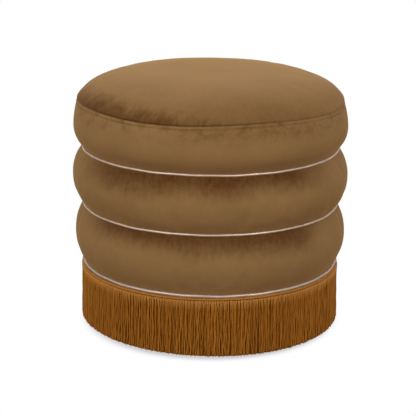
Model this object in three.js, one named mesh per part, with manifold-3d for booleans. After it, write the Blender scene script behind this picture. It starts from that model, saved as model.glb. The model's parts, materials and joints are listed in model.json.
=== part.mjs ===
// A round upholstered tuffet: three stacked rolls on a straight plinth with a long fringe.
// Sizes are in millimetres, +Z is up, and the origin lies on the floor under the centre.

import * as THREE from 'three';
import * as BufferGeometryUtils from 'three/addons/utils/BufferGeometryUtils.js';
import Module from 'manifold-3d';

const manifold_library = await Module();
manifold_library.setup();
const { Manifold, Mesh } = manifold_library;

// Clearances
const fit_gap = 0.3;
const cut_overrun = 5;

// Heights of the whole tuffet
const foot_height = 24;
const plinth_height = 83.5;
const lower_roll_height = 100.5;
const middle_roll_height = 96;
const band_height = 80;
const crown_height = 46.5;

// Widths of the whole tuffet: the rolls at their widest, and how far valleys and seam lie inside that
const roll_radius = 230;
const valley_depth = 15.4;
const seam_setback = 7;

// Shape of the soft outlines
const bulge_power = 2.25;
const bulge_fullness = 1.08;
const band_widest_share = 0.46;
const shoulder_power = 1.65;
const crown_power = 4;
const crown_fullness = 0.64;

// Sheet and board thicknesses
const ply_thickness = 15;
const plinth_wall_thickness = 3;
const drum_wall_thickness = 3;
const cover_thickness = 1.8;
const wadding_thickness = 8;
const dust_cover_thickness = 0.4;

// Drum inside the rolls
const hoop_width = 34.2;
const batten_depth = 20;
const batten_width = 45;
const batten_count = 6;

// Seams and turned edges
const seam_allowance = 8;
const turned_edge = 24;

// Piping
const piping_diameter = 4.4;
const lower_piping_diameter = 5.2;
const piping_flange_thickness = 0.8;
const piping_steps = 5;

// Fringe
const fringe_floor_gap = 6;
const fringe_thickness = 4.5;
const heading_height = 12.5;
const heading_roll_height = 6;
const heading_groove_height = 2;
const heading_groove_depth = 1.4;
const heading_top_depth = 0.7;
const heading_skin = 0.3;
const strand_count = 300;
const strand_root = 2;
const strand_raggedness = 3.5;
const strand_width_share = 0.82;
const strand_lean_share = 0.08;
const strand_lean_rhythm = 5.1;
const strand_length_rhythm = 2.4;
const fringe_names = ['fringe_right', 'fringe_back', 'fringe_left', 'fringe_front'];

// Glide feet
const foot_count = 4;
const foot_inset = 7;
const foot_top_radius = 20;
const foot_sole_radius = 17;
const foot_flank_drop = 12;
const foot_recess_radius = 6.5;
const foot_recess_depth = 2;
const foot_sides = 12;

// Wood screws
const screw_head_radius = 4.5;
const screw_head_depth = 2.8;
const screw_shank_radius = 2.2;
const screw_tip_length = 4;
const screw_sides = 6;
const batten_screw_length = 45;
const foot_screw_cover = 3;

// Facets of everything that is turned about the tuffet's axis
const round_sides = 32;

// Shares of a roll's half height, or of a band's, at which its outline has a point
const roll_skin_shares = [-0.9, -0.66, -0.34, 0, 0.34, 0.66, 0.9];
const roll_core_shares = [-0.6, 0, 0.6];
const band_skin_shares = [-0.9, -0.62, -0.3, 0, 0.36, 0.7];
const band_core_shares = [-0.6, 0, 0.45, 0.8];

// Shares of the seam radius at which the crown has a point
const crown_skin_shares = [0.985, 0.945, 0.87, 0.74, 0.52, 0.27];
const crown_core_shares = [0.92, 0.74, 0.42];

// Levels and radii that follow from the sizes above
const base_level = foot_height + fit_gap + dust_cover_thickness + fit_gap;
const lower_level = base_level + plinth_height;
const middle_level = lower_level + lower_roll_height;
const upper_level = middle_level + middle_roll_height;
const widest_level = upper_level + band_height * band_widest_share;
const seam_level = upper_level + band_height;
const half_ply = ply_thickness / 2;
const board_top_level = base_level + ply_thickness;
const seat_underside_level = upper_level - half_ply;
const seat_top_level = upper_level + half_ply;
const valley_radius = roll_radius - valley_depth;
const lining_radius = valley_radius - cover_thickness;
const hoop_radius = lining_radius - fit_gap;
const drum_radius = hoop_radius - hoop_width - fit_gap;
const seam_radius = roll_radius - seam_setback;
const half_flange = piping_flange_thickness / 2;
const cover_edge_gap = half_flange + fit_gap;
const core_inset = cover_thickness + fit_gap;
const panel_flange_radius = seam_radius - cover_thickness - fit_gap;
const panel_flange_inside = panel_flange_radius - cover_thickness;
const wadding_radius = panel_flange_inside - fit_gap;
const foam_crown_inset = core_inset + wadding_thickness + fit_gap;
const fringe_inside = valley_radius + fit_gap;
const fringe_outside = fringe_inside + fringe_thickness;
const turned_radius = valley_radius - turned_edge;
const foot_circle_radius = turned_radius - foot_inset - foot_top_radius;
const foot_screw_length = board_top_level - foot_screw_cover - foot_recess_depth;

// Materials, in the colours and finishes of the real pieces
const velvet = finish(0x87653f, 0.92, 0);
const metallic_piping = finish(0xd0b5a2, 0.35, 0.45);
const fringe_yarn = finish(0x7b4d1d, 0.75, 0);
const plain_cotton = finish(0x6e5233, 0.95, 0);
const plywood = finish(0xc9a877, 0.7, 0);
const pine = finish(0xd8b684, 0.7, 0);
const hardboard = finish(0x8a6846, 0.8, 0);
const foam = finish(0xe8dcb4, 0.95, 0);
const wadding = finish(0xf2f0ea, 1, 0);
const non_woven = finish(0x1d1d1f, 0.9, 0);
const black_plastic = finish(0x18181a, 0.45, 0);
const zinc_steel = finish(0xb9bcc0, 0.35, 1);

const tuffet = new THREE.Group();

add_boards();
add_drum();
add_battens();
add_foams();
add_covers();
add_pipings();
add_fringe();
add_feet();
add_dust_cover();

export default tuffet;

// Shared helpers

function finish(color, roughness, metalness) {
  return new THREE.MeshStandardMaterial({ color, roughness, metalness });
}

function add_piece(name, solid, material) {
  const mesh = new THREE.Mesh(geometry_of(solid), material);
  mesh.name = name;
  tuffet.add(mesh);
}

// A closed geometry becomes a solid once its shared corners are merged.
function solid_of(geometry) {
  geometry.deleteAttribute('normal');
  geometry.deleteAttribute('uv');
  const merged = BufferGeometryUtils.mergeVertices(geometry);
  const corners = merged.index.array;
  const kept = [];
  for (let i = 0; i < corners.length; i += 3) {
    const [a, b, c] = [corners[i], corners[i + 1], corners[i + 2]];
    if (a !== b && b !== c && c !== a) kept.push(a, b, c);
  }
  return new Manifold(new Mesh({
    numProp: 3,
    vertProperties: new Float32Array(merged.attributes.position.array),
    triVerts: new Uint32Array(kept),
  }));
}

function geometry_of(solid) {
  const mesh = solid.getMesh();
  const geometry = new THREE.BufferGeometry();
  geometry.setAttribute('position', new THREE.BufferAttribute(mesh.vertProperties, mesh.numProp));
  geometry.setIndex(new THREE.BufferAttribute(mesh.triVerts, 1));
  geometry.computeVertexNormals();
  return geometry;
}

// Turns an outline of [radius, height] points about +Z. The outline runs counterclockwise.
function turned_solid(outline, sides = round_sides) {
  const points = outline.map(([radius, height]) => new THREE.Vector2(radius, height));
  const geometry = new THREE.LatheGeometry(points, sides);
  geometry.rotateX(Math.PI / 2);
  return solid_of(geometry);
}

function turned_ring(outline, sides = round_sides) {
  return turned_solid([...outline, outline[0]], sides);
}

function ring_between(inner_radius, outer_radius, low, high) {
  return turned_ring([
    [inner_radius, low],
    [outer_radius, low],
    [outer_radius, high],
    [inner_radius, high],
  ]);
}

function disc_between(radius, low, high) {
  return turned_solid([[0, low], [radius, low], [radius, high], [0, high]]);
}

function placed_at(solid, angle, radius, height) {
  return solid.rotate([0, 0, THREE.MathUtils.radToDeg(angle)])
    .translate([radius * Math.cos(angle), radius * Math.sin(angle), height]);
}

// The flat facets of a turned piece lie inside its circle by this much at an angle.
function facet_share(angle) {
  const facet = 2 * Math.PI / round_sides;
  const from_front = angle + Math.PI / 2;
  const into_facet = from_front - facet * Math.floor(from_front / facet);
  return Math.cos(facet / 2) / Math.cos(into_facet - facet / 2);
}

// Outlines of the soft pieces

function bulge(share) {
  return (1 - Math.abs(share) ** bulge_power) ** bulge_fullness;
}

function roll_point(low_level, high_level, share, inset) {
  const middle = (low_level + high_level) / 2;
  const half_height = (high_level - low_level) / 2 - inset;
  const swell = (roll_radius - valley_radius) * bulge(share);
  return [valley_radius + swell - inset, middle + half_height * share];
}

function band_point(share, inset) {
  if (share <= 0) {
    const swell = (roll_radius - valley_radius) * bulge(share);
    const reach = widest_level - upper_level - inset;
    return [valley_radius + swell - inset, widest_level + reach * share];
  }
  const drawn_in = (roll_radius - seam_radius) * share ** shoulder_power;
  return [roll_radius - drawn_in - inset, widest_level + (seam_level - widest_level) * share];
}

function crown_point(share, inset) {
  const rise = crown_height * (1 - share ** crown_power) ** crown_fullness;
  return [(seam_radius - inset) * share, seam_level + rise - inset];
}

// Plywood boards and hoops, with a hole for each screw that passes through

function add_boards() {
  const base_radius = hoop_radius - plinth_wall_thickness - fit_gap;
  let base_board = disc_between(base_radius, base_level, board_top_level);
  let seat_board = disc_between(hoop_radius, seat_underside_level, seat_top_level);
  for (const angle of batten_angles()) {
    base_board = base_board.subtract(lower_batten_screw(angle, fit_gap));
    seat_board = seat_board.subtract(upper_batten_screw(angle, fit_gap));
  }
  for (const angle of foot_angles()) base_board = base_board.subtract(foot_screw(angle, fit_gap));
  add_piece('base_board', base_board, plywood);
  add_piece('seat_board', seat_board, plywood);
  add_piece('lower_hoop', hoop_at(lower_level), plywood);
  add_piece('middle_hoop', hoop_at(middle_level), plywood);
}

function hoop_at(level) {
  return ring_between(drum_radius + fit_gap, hoop_radius, level - half_ply, level + half_ply);
}

// Bent hardboard walls of the drum and of the plinth

function add_drum() {
  const drum_inside = drum_radius - drum_wall_thickness;
  const plinth_inside = hoop_radius - plinth_wall_thickness;
  const drum_low = board_top_level + fit_gap;
  const drum_high = seat_underside_level - fit_gap;
  const plinth_high = lower_level - half_ply - fit_gap;
  add_piece('drum_wall', ring_between(drum_inside, drum_radius, drum_low, drum_high), hardboard);
  add_piece('plinth_wall', ring_between(plinth_inside, hoop_radius, base_level, plinth_high), hardboard);
}

// Battens stand inside the drum, their outer corners just clear of its facets

function batten_angles() {
  const angles = [];
  for (let i = 0; i < batten_count; i += 1) angles.push(2 * Math.PI * i / batten_count);
  return angles;
}

function batten_circle_radius() {
  const drum_inside = (drum_radius - drum_wall_thickness) * Math.cos(Math.PI / round_sides);
  const corner_radius = drum_inside - fit_gap;
  const outer_face = Math.sqrt(corner_radius ** 2 - (batten_width / 2) ** 2);
  return outer_face - batten_depth / 2;
}

function add_battens() {
  const low = board_top_level + fit_gap;
  const high = seat_underside_level - fit_gap;
  const post = solid_of(new THREE.BoxGeometry(batten_depth, batten_width, high - low));
  batten_angles().forEach((angle, i) => {
    const batten = placed_at(post, angle, batten_circle_radius(), (low + high) / 2)
      .subtract(lower_batten_screw(angle, fit_gap))
      .subtract(upper_batten_screw(angle, fit_gap));
    add_piece(`batten_${i + 1}`, batten, pine);
    add_piece(`lower_batten_screw_${i + 1}`, lower_batten_screw(angle, 0), zinc_steel);
    add_piece(`upper_batten_screw_${i + 1}`, upper_batten_screw(angle, 0), zinc_steel);
  });
}

// Countersunk wood screws, head down at height zero. Grown by a clearance, one cuts its own hole.

function upright_screw(length, clearance) {
  const head = screw_head_radius + clearance;
  const shank = screw_shank_radius + clearance;
  const mouth = clearance > 0 ? [[0, -cut_overrun], [head, -cut_overrun]] : [[0, 0]];
  return turned_solid([
    ...mouth,
    [head, 0],
    [shank, screw_head_depth],
    [shank, length - screw_tip_length],
    [0, length + clearance],
  ], screw_sides);
}

function lower_batten_screw(angle, clearance) {
  const rising = upright_screw(batten_screw_length, clearance);
  return placed_at(rising, angle, batten_circle_radius(), base_level);
}

function upper_batten_screw(angle, clearance) {
  const hanging = upright_screw(batten_screw_length, clearance).rotate([180, 0, 0]);
  return placed_at(hanging, angle, batten_circle_radius(), seat_top_level);
}

function foot_screw(angle, clearance) {
  const rising = upright_screw(foot_screw_length, clearance);
  return placed_at(rising, angle, foot_circle_radius, foot_recess_depth);
}

// Foam of the three rolls, and the wadding over the seat foam

function add_foams() {
  add_piece('lower_foam', roll_foam(lower_level, middle_level), foam);
  add_piece('middle_foam', roll_foam(middle_level, upper_level), foam);
  add_piece('seat_foam', seat_foam(), foam);
  add_piece('seat_wadding', seat_wadding(), wadding);
}

function roll_foam(low_level, high_level) {
  const low = low_level + half_ply + fit_gap;
  const high = high_level - half_ply - fit_gap;
  const inside = drum_radius + fit_gap;
  return turned_ring([
    [inside, low],
    [hoop_radius, low],
    ...roll_core_shares.map((share) => roll_point(low_level, high_level, share, core_inset)),
    [hoop_radius, high],
    [inside, high],
  ]);
}

function seat_foam() {
  const low = seat_top_level + fit_gap;
  const shoulder = seam_level - seam_allowance - fit_gap;
  return turned_solid([
    [0, low],
    [hoop_radius, low],
    ...band_core_shares.map((share) => band_point(share, core_inset)),
    [wadding_radius, shoulder],
    ...crown_core_shares.map((share) => crown_point(share, foam_crown_inset)),
    crown_point(0, foam_crown_inset),
  ]);
}

function seat_wadding() {
  const underside_inset = foam_crown_inset - fit_gap;
  const edge_share = wadding_radius / (seam_radius - core_inset);
  const rising_shares = [...crown_core_shares].reverse();
  return turned_solid([
    crown_point(0, underside_inset),
    ...rising_shares.map((share) => crown_point(share, underside_inset)),
    [wadding_radius, seam_level - seam_allowance],
    crown_point(edge_share, core_inset),
    ...crown_core_shares.map((share) => crown_point(share, core_inset)),
    crown_point(0, core_inset),
  ]);
}

// Covers: skins whose edges are drawn in to the hoops, with the piping's flange between them

function add_covers() {
  add_piece('plinth_cover', plinth_cover(), plain_cotton);
  add_piece('lower_roll_cover', roll_cover(lower_level, middle_level), velvet);
  add_piece('middle_roll_cover', roll_cover(middle_level, upper_level), velvet);
  add_piece('top_band', top_band(), velvet);
  add_piece('top_panel', top_panel(), velvet);
}

function plinth_cover() {
  const underside = base_level - fit_gap - cover_thickness;
  return turned_ring([
    [turned_radius, underside],
    [valley_radius, underside],
    [valley_radius, lower_level - cover_edge_gap],
    [lining_radius, lower_level - cover_edge_gap],
    [lining_radius, base_level - fit_gap],
    [turned_radius, base_level - fit_gap],
  ]);
}

function roll_cover(low_level, high_level) {
  const low = low_level + cover_edge_gap;
  const high = high_level - cover_edge_gap;
  const falling_shares = [...roll_core_shares].reverse();
  return turned_ring([
    [lining_radius, low],
    [valley_radius, low],
    ...roll_skin_shares.map((share) => roll_point(low_level, high_level, share, 0)),
    [valley_radius, high],
    [lining_radius, high],
    [lining_radius, high_level - half_ply],
    ...falling_shares.map((share) => roll_point(low_level, high_level, share, cover_thickness)),
    [lining_radius, low_level + half_ply],
  ]);
}

function top_band() {
  const low = upper_level + cover_edge_gap;
  const edge_level = seam_level - fit_gap / 2;
  const falling_shares = [...band_core_shares].reverse();
  return turned_ring([
    [lining_radius, low],
    [valley_radius, low],
    ...band_skin_shares.map((share) => band_point(share, 0)),
    [seam_radius, edge_level],
    [seam_radius - cover_thickness, edge_level],
    ...falling_shares.map((share) => band_point(share, cover_thickness)),
    [lining_radius, seat_top_level],
  ]);
}

function top_panel() {
  const edge_level = seam_level + fit_gap / 2;
  const flange_low = seam_level - seam_allowance;
  const inside_share = panel_flange_inside / (seam_radius - cover_thickness);
  const rising_shares = [...crown_core_shares].reverse();
  return turned_solid([
    crown_point(0, cover_thickness),
    ...rising_shares.map((share) => crown_point(share, cover_thickness)),
    crown_point(inside_share, cover_thickness),
    [panel_flange_inside, flange_low],
    [panel_flange_radius, flange_low],
    [panel_flange_radius, edge_level],
    [seam_radius, edge_level],
    ...crown_skin_shares.map((share) => crown_point(share, 0)),
    crown_point(0, 0),
  ]);
}

// Piping: a round cord with a flat sewing flange that reaches in to the hoop

function add_pipings() {
  add_piece('lower_piping', piping_at(lower_level, lower_piping_diameter), metallic_piping);
  add_piece('middle_piping', piping_at(middle_level, piping_diameter), metallic_piping);
  add_piece('upper_piping', piping_at(upper_level, piping_diameter), metallic_piping);
}

function piping_at(level, diameter) {
  const cord_radius = diameter / 2;
  const cord_centre = valley_radius + fit_gap + cord_radius;
  const neck_angle = Math.PI - Math.asin(half_flange / cord_radius);
  const outline = [[lining_radius, level - half_flange]];
  for (let i = 0; i <= piping_steps; i += 1) {
    const angle = neck_angle * (2 * i / piping_steps - 1);
    outline.push([cord_centre + cord_radius * Math.cos(angle), level + cord_radius * Math.sin(angle)]);
  }
  outline.push([lining_radius, level + half_flange]);
  return turned_ring(outline);
}

// Fringe: a woven heading with a narrow upper row, a groove and a thicker lower row that holds the strands

function add_fringe() {
  const heading = heading_ring();
  const strands_each = Math.round(strand_count / fringe_names.length);
  fringe_names.forEach((name, i) => {
    const start = Math.PI * (2 * i - 1) / fringe_names.length;
    const strands = strands_from(start, i * strands_each, strands_each);
    add_piece(name, heading.intersect(quarter_block(start)).add(strands), fringe_yarn);
  });
}

function heading_levels() {
  const top = lower_level - lower_piping_diameter / 2 - fit_gap;
  return { top, bottom: top - heading_height };
}

function heading_ring() {
  const { top, bottom } = heading_levels();
  const row_outside = fringe_outside + heading_skin;
  const roll_top = bottom + heading_roll_height;
  const groove_top = roll_top + heading_groove_height;
  return turned_ring([
    [fringe_inside, bottom],
    [row_outside, bottom],
    [row_outside, roll_top],
    [row_outside - heading_groove_depth, roll_top + heading_groove_height / 2],
    [row_outside - heading_top_depth, groove_top],
    [row_outside - heading_top_depth, top],
    [fringe_inside, top],
  ]);
}

// A square block that keeps one quarter of the ring, half a gap short of each neighbour.
function quarter_block(start) {
  const side = roll_radius;
  const height = lower_level;
  const block = new THREE.BoxGeometry(side, side, height);
  block.translate((side + fit_gap) / 2, (side + fit_gap) / 2, height / 2);
  block.rotateZ(start);
  return solid_of(block);
}

function strands_from(start, first_number, count) {
  const pitch = 2 * Math.PI / (count * fringe_names.length);
  const positions = [];
  for (let i = 0; i < count; i += 1) {
    positions.push(...strand_triangles(start + pitch * (i + 0.5), pitch, first_number + i));
  }
  const geometry = new THREE.BufferGeometry();
  geometry.setAttribute('position', new THREE.Float32BufferAttribute(positions, 3));
  return solid_of(geometry);
}

// One three-sided strand, its ridge outwards. Length and lean vary from strand to strand.
function strand_triangles(angle, pitch, number) {
  const { bottom } = heading_levels();
  const half_width = pitch * strand_width_share / 2;
  const lean = pitch * strand_lean_share * Math.sin(number * strand_lean_rhythm);
  const shortfall = strand_raggedness * (1 + Math.sin(number * strand_length_rhythm)) / 2;
  const tip = fringe_floor_gap + shortfall;
  const inside = fringe_inside + fit_gap;
  const ring_at = (level, shift) => [
    ring_corner(fringe_outside, angle + shift, level),
    ring_corner(inside, angle + shift + half_width, level),
    ring_corner(inside, angle + shift - half_width, level),
  ];
  const top = ring_at(bottom + strand_root, 0);
  const low = ring_at(tip, lean);
  const faces = [[top[0], top[1], top[2]], [low[0], low[2], low[1]]];
  for (let i = 0; i < top.length; i += 1) {
    const next = (i + 1) % top.length;
    faces.push([low[i], low[next], top[next]], [low[i], top[next], top[i]]);
  }
  return faces.flat(2);
}

function ring_corner(radius, angle, level) {
  const reach = radius * facet_share(angle);
  return [reach * Math.cos(angle), reach * Math.sin(angle), level];
}

// Glide feet, each screwed up into the base board from inside its recess

function foot_angles() {
  const angles = [];
  for (let i = 0; i < foot_count; i += 1) angles.push(2 * Math.PI * (i + 0.5) / foot_count);
  return angles;
}

function add_feet() {
  const blank = turned_solid([
    [0, foot_recess_depth],
    [foot_recess_radius, foot_recess_depth],
    [foot_recess_radius, 0],
    [foot_sole_radius, 0],
    [foot_top_radius, foot_height - foot_flank_drop],
    [foot_top_radius, foot_height],
    [0, foot_height],
  ], foot_sides);
  foot_angles().forEach((angle, i) => {
    const foot = placed_at(blank, angle, foot_circle_radius, 0).subtract(foot_screw(angle, fit_gap));
    add_piece(`foot_${i + 1}`, foot, black_plastic);
    add_piece(`foot_screw_${i + 1}`, foot_screw(angle, 0), zinc_steel);
  });
}

// Dust cover: a thin disc inside the turned edge of the plinth cover, held by the feet

function add_dust_cover() {
  const high = base_level - fit_gap;
  let cover = disc_between(turned_radius - fit_gap, high - dust_cover_thickness, high);
  for (const angle of foot_angles()) cover = cover.subtract(foot_screw(angle, fit_gap));
  add_piece('dust_cover', cover, non_woven);
}
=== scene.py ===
# %% [markdown]
# # A round velvet tuffet with a fringe
#
# The real thing is a plywood and hardboard drum with three soft rolls round it. Velvet covers are pulled
# in to hoops between the rolls, a metallic piping closes each valley, and a long fringe hides the plinth.
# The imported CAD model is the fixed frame. This lesson puts the soft goods on it: covers shaped by a cloth
# simulation, yarns made one by one, and materials made from nodes. Sizes are written in millimetres, and
# angles run counterclockwise from the right, so that the back lies at a quarter turn.

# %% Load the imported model
import math
import json

import bpy
import numpy as np
from mathutils import Matrix, Vector
from mathutils.kdtree import KDTree

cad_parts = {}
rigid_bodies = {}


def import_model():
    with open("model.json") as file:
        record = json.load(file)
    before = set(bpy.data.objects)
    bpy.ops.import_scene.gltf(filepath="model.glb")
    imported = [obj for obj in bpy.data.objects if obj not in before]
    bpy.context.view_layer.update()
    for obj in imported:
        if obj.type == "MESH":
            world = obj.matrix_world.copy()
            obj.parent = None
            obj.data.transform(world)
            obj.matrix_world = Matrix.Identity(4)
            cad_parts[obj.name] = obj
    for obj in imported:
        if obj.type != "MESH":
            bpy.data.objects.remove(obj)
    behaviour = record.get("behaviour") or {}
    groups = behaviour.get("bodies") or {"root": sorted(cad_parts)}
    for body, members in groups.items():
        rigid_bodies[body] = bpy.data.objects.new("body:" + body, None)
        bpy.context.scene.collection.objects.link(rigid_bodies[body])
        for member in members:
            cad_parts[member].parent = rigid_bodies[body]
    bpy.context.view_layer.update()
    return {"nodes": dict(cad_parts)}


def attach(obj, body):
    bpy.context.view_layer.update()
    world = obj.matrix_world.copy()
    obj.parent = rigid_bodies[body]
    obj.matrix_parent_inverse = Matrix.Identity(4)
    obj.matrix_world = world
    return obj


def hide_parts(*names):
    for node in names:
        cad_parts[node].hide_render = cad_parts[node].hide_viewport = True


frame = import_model()
MM = 0.001
FULL_TURN = 2 * math.pi
QUARTER_TURN = math.pi / 2
BACK = QUARTER_TURN


# %% [markdown]
# ## The camera
#
# The photograph looks down on the seat at about sixteen degrees through a long lens, a little off centre
# and turned by half a degree. These values came from fitting the outline, the pipings and the seam. The
# shift is only as large as the photograph's framing needs, and there is no depth of field.

# %% Set up the camera
ELEVATION = math.radians(15.713)
DISTANCE = 2.3
AIM_HEIGHT = 0.205
ROLL = math.radians(0.551)
PICTURE = 416
FOCAL_PIXELS = 1344.1
CENTRE_PIXEL = (210.20, 200.09)
SENSOR = 36

scene = bpy.context.scene
camera_data = bpy.data.cameras.new("camera")
camera_data.sensor_width = SENSOR
camera_data.lens = SENSOR * FOCAL_PIXELS / PICTURE
camera_data.shift_x = (PICTURE / 2 - CENTRE_PIXEL[0]) / PICTURE
camera_data.shift_y = (CENTRE_PIXEL[1] - PICTURE / 2) / PICTURE
camera = bpy.data.objects.new("camera", camera_data)
camera.location = (0, -DISTANCE * math.cos(ELEVATION), AIM_HEIGHT + DISTANCE * math.sin(ELEVATION))
tilt = Matrix.Rotation(QUARTER_TURN - ELEVATION, 3, "X") @ Matrix.Rotation(ROLL, 3, "Z")
camera.rotation_euler = tilt.to_euler()
scene.collection.objects.link(camera)
scene.camera = camera
print("lens:", round(camera_data.lens, 2), "mm")
print("shift:", round(camera_data.shift_x, 4), round(camera_data.shift_y, 4))

# %% [markdown]
# ## Colours and nodes
#
# Colours are written as sRGB hex, as a picture editor shows them, and one function turns them into the
# linear values that the shaders use. One small function adds a node with its settings and its links, so
# that each material reads as a short list of what it is made of. A node that is given as an input stands
# for its first output, and an output is given by name or number where another one is meant.

# %% Colour and node helpers
WHITE = (1, 1, 1, 1)


def paint(hex_colour):
    shares = [int(hex_colour[i:i + 2], 16) / 255 for i in (1, 3, 5)]
    linear = [s / 12.92 if s <= 0.04045 else ((s + 0.055) / 1.055) ** 2.4 for s in shares]
    return (*linear, 1.0)


def new_material(name):
    material = bpy.data.materials.new(name)
    material.use_nodes = True
    return material


def set_inputs(material, node, inputs):
    for name, value in inputs.items():
        if isinstance(value, bpy.types.Node):
            value = value.outputs[0]
        if isinstance(value, bpy.types.NodeSocket):
            material.node_tree.links.new(value, node.inputs[name])
        else:
            node.inputs[name].default_value = value


def add_node(material, kind, inputs=None, **settings):
    node = material.node_tree.nodes.new("ShaderNode" + kind)
    for setting, value in settings.items():
        setattr(node, setting, value)
    set_inputs(material, node, inputs or {})
    return node


def dress(material, inputs):
    set_inputs(material, material.node_tree.nodes["Principled BSDF"], inputs)
    return material


print("a mid grey as linear light:", round(paint("#808080")[0], 3))

# %% [markdown]
# ## The floor
#
# The photograph has a white ground with only a faint, soft shadow close to the fringe. The floor is a plain
# pale sheet. Rays from the camera see it as plain white, with a share of the lit board left in near the
# tuffet, so its soft shadow stays. All other rays meet a darker board, which keeps the light that it throws
# back up at the rolls at a plain level.

# %% Make the floor
FLOOR_HALF = 6.0
# This share of the lit board is seen up to the first reach from the middle, in metres, and none past the
# second.
SHADOW_SHARE = 0.42
SHADOW_FROM, SHADOW_TO = 0.205, 0.23

floor_mesh = bpy.data.meshes.new("floor")
floor_corners = [(x * FLOOR_HALF, y * FLOOR_HALF, 0) for x, y in ((-1, -1), (1, -1), (1, 1), (-1, 1))]
floor_mesh.from_pydata(floor_corners, [], [(0, 1, 2, 3)])
floor = bpy.data.objects.new("floor", floor_mesh)
scene.collection.objects.link(floor)

board = new_material("Floor, matt pale painted board")
dress(board, {"Base Color": paint("#958871"), "Roughness": 0.9, "Specular IOR Level": 0.1})
white_ground = add_node(board, "Emission", {"Color": WHITE, "Strength": 1.0})
shaded_board = add_node(board, "BsdfDiffuse", {"Color": paint("#ECECFF")})
board_place = add_node(board, "TexCoord")
board_reach = add_node(board, "VectorMath", {0: board_place.outputs["Object"]}, operation="LENGTH")
shadow_share = add_node(board, "MapRange", {
    "Value": board_reach.outputs["Value"],
    "From Min": SHADOW_FROM, "From Max": SHADOW_TO, "To Min": SHADOW_SHARE, "To Max": 0.0,
}, interpolation_type="SMOOTHSTEP")
seen_ground = add_node(board, "MixShader", {0: shadow_share, 1: white_ground, 2: shaded_board})
ray = add_node(board, "LightPath")
lit_board = board.node_tree.nodes["Principled BSDF"]
by_ray = add_node(board, "MixShader", {0: ray.outputs["Is Camera Ray"], 1: lit_board, 2: seen_ground})
set_inputs(board, board.node_tree.nodes["Material Output"], {"Surface": by_ray})
floor_mesh.materials.append(board)
print("floor:", 2 * FLOOR_HALF, "m square")

# %% [markdown]
# ## The light
#
# The photograph's light is an even, soft studio light. Most of it comes from all around. Two large lamps
# stand in front, one to each side, and give the pipings their two bright stretches, and a weak one hangs
# overhead. They are kept at a level at which a colour comes out about as it is written.

# %% Make the studio light
AMBIENT = 0.78
scene.view_settings.view_transform = "Standard"
studio = bpy.data.worlds.new("studio")
scene.world = studio
studio.use_nodes = True
all_round = studio.node_tree.nodes["Background"]
set_inputs(studio, all_round, {"Color": WHITE, "Strength": AMBIENT})
white_backdrop = add_node(studio, "Background", {"Color": WHITE, "Strength": 1.0})
studio_ray = add_node(studio, "LightPath")
studio_by_ray = add_node(studio, "MixShader", {
    0: studio_ray.outputs["Is Camera Ray"], 1: all_round, 2: white_backdrop,
})
set_inputs(studio, studio.node_tree.nodes["World Output"], {"Surface": studio_by_ray})


def soft_lamp(name, place, aim, size, power):
    lamp_data = bpy.data.lights.new(name, "AREA")
    lamp_data.shape = "SQUARE"
    lamp_data.size = size
    lamp_data.energy = power
    lamp = bpy.data.objects.new(name, lamp_data)
    lamp.location = place
    lamp.rotation_mode = "QUATERNION"
    lamp.rotation_quaternion = (Vector(aim) - Vector(place)).to_track_quat("-Z", "Y")
    scene.collection.objects.link(lamp)


soft_lamp("overhead_softbox", place=(-0.1, 0.4, 2.4), aim=(0, 0, 0.2), size=1.6, power=3.4)
soft_lamp("left_softbox", place=(-1.60, -2.05, 1.5), aim=(0, 0, 0.25), size=1.5, power=21.8)
soft_lamp("right_softbox", place=(1.53, -2.10, 1.5), aim=(0, 0, 0.25), size=1.2, power=17.6)

# %% [markdown]
# ## Outlines that the covers follow
#
# The rolls, the seat band and the crown each follow one smooth outline, the same as in the CAD model. A
# roll swells from the valley radius to its widest and back. The band leans in to the seam, and the crown
# rises from the seam to the middle of the seat.

# %% Levels, radii and outlines
VALLEY_RADIUS = 214.6
ROLL_RADIUS = 230.0
SEAM_RADIUS = 223.0
LINING_RADIUS = 213.0
LEVELS = {"base": 25.0, "lower": 108.5, "middle": 209.0, "upper": 305.0, "widest": 341.8, "seam": 385.0}
CROWN_HEIGHT = 46.5
EDGE_GAP = 0.7
BULGE_POWER, BULGE_FULLNESS = 2.25, 1.08
SHOULDER_POWER = 1.65
CROWN_POWER, CROWN_FULLNESS = 4, 0.64


def bulge(share):
    return (1 - np.abs(share) ** BULGE_POWER) ** BULGE_FULLNESS


def roll_outline(low, high, steps, inset=0.0):
    share = np.sin(np.linspace(-1, 1, steps) * math.pi / 2)
    half = (high - low) / 2 - EDGE_GAP
    radius = VALLEY_RADIUS + (ROLL_RADIUS - VALLEY_RADIUS) * bulge(share) - inset
    return np.stack([radius, (low + high) / 2 + half * share], axis=1)


def band_outline(share, inset=0.0):
    low_reach = LEVELS["widest"] - LEVELS["upper"] - EDGE_GAP
    high_reach = LEVELS["seam"] - LEVELS["widest"]
    swell = VALLEY_RADIUS + (ROLL_RADIUS - VALLEY_RADIUS) * bulge(np.minimum(share, 0))
    lean = ROLL_RADIUS - (ROLL_RADIUS - SEAM_RADIUS) * np.maximum(share, 0) ** SHOULDER_POWER
    height = LEVELS["widest"] + np.where(share < 0, low_reach, high_reach) * share
    return np.stack([np.where(share < 0, swell, lean) - inset, height], axis=1)


def crown_outline(share, inset=0.0):
    rise = CROWN_HEIGHT * (1 - share ** CROWN_POWER) ** CROWN_FULLNESS
    return np.stack([(SEAM_RADIUS - inset) * share, LEVELS["seam"] + rise - inset], axis=1)


top_of_seat = crown_outline(np.array([0.0]))[0, 1]
print("seat height:", top_of_seat, "mm; widest:", 2 * ROLL_RADIUS, "mm")

# %% [markdown]
# ## Turning an outline into a mesh
#
# An outline of points is turned about the upright axis into a grid of quads. The columns start at the
# back, where each real cover has its sewn joint. The UV map holds true lengths in metres, round the body
# and up the skin, so that every weave and nap pattern can be set out from a real size.

# %% Grid helpers
def length_along(outline):
    steps = np.hypot(*np.diff(outline, axis=0).T)
    return np.concatenate([[0.0], np.cumsum(steps)])


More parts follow.
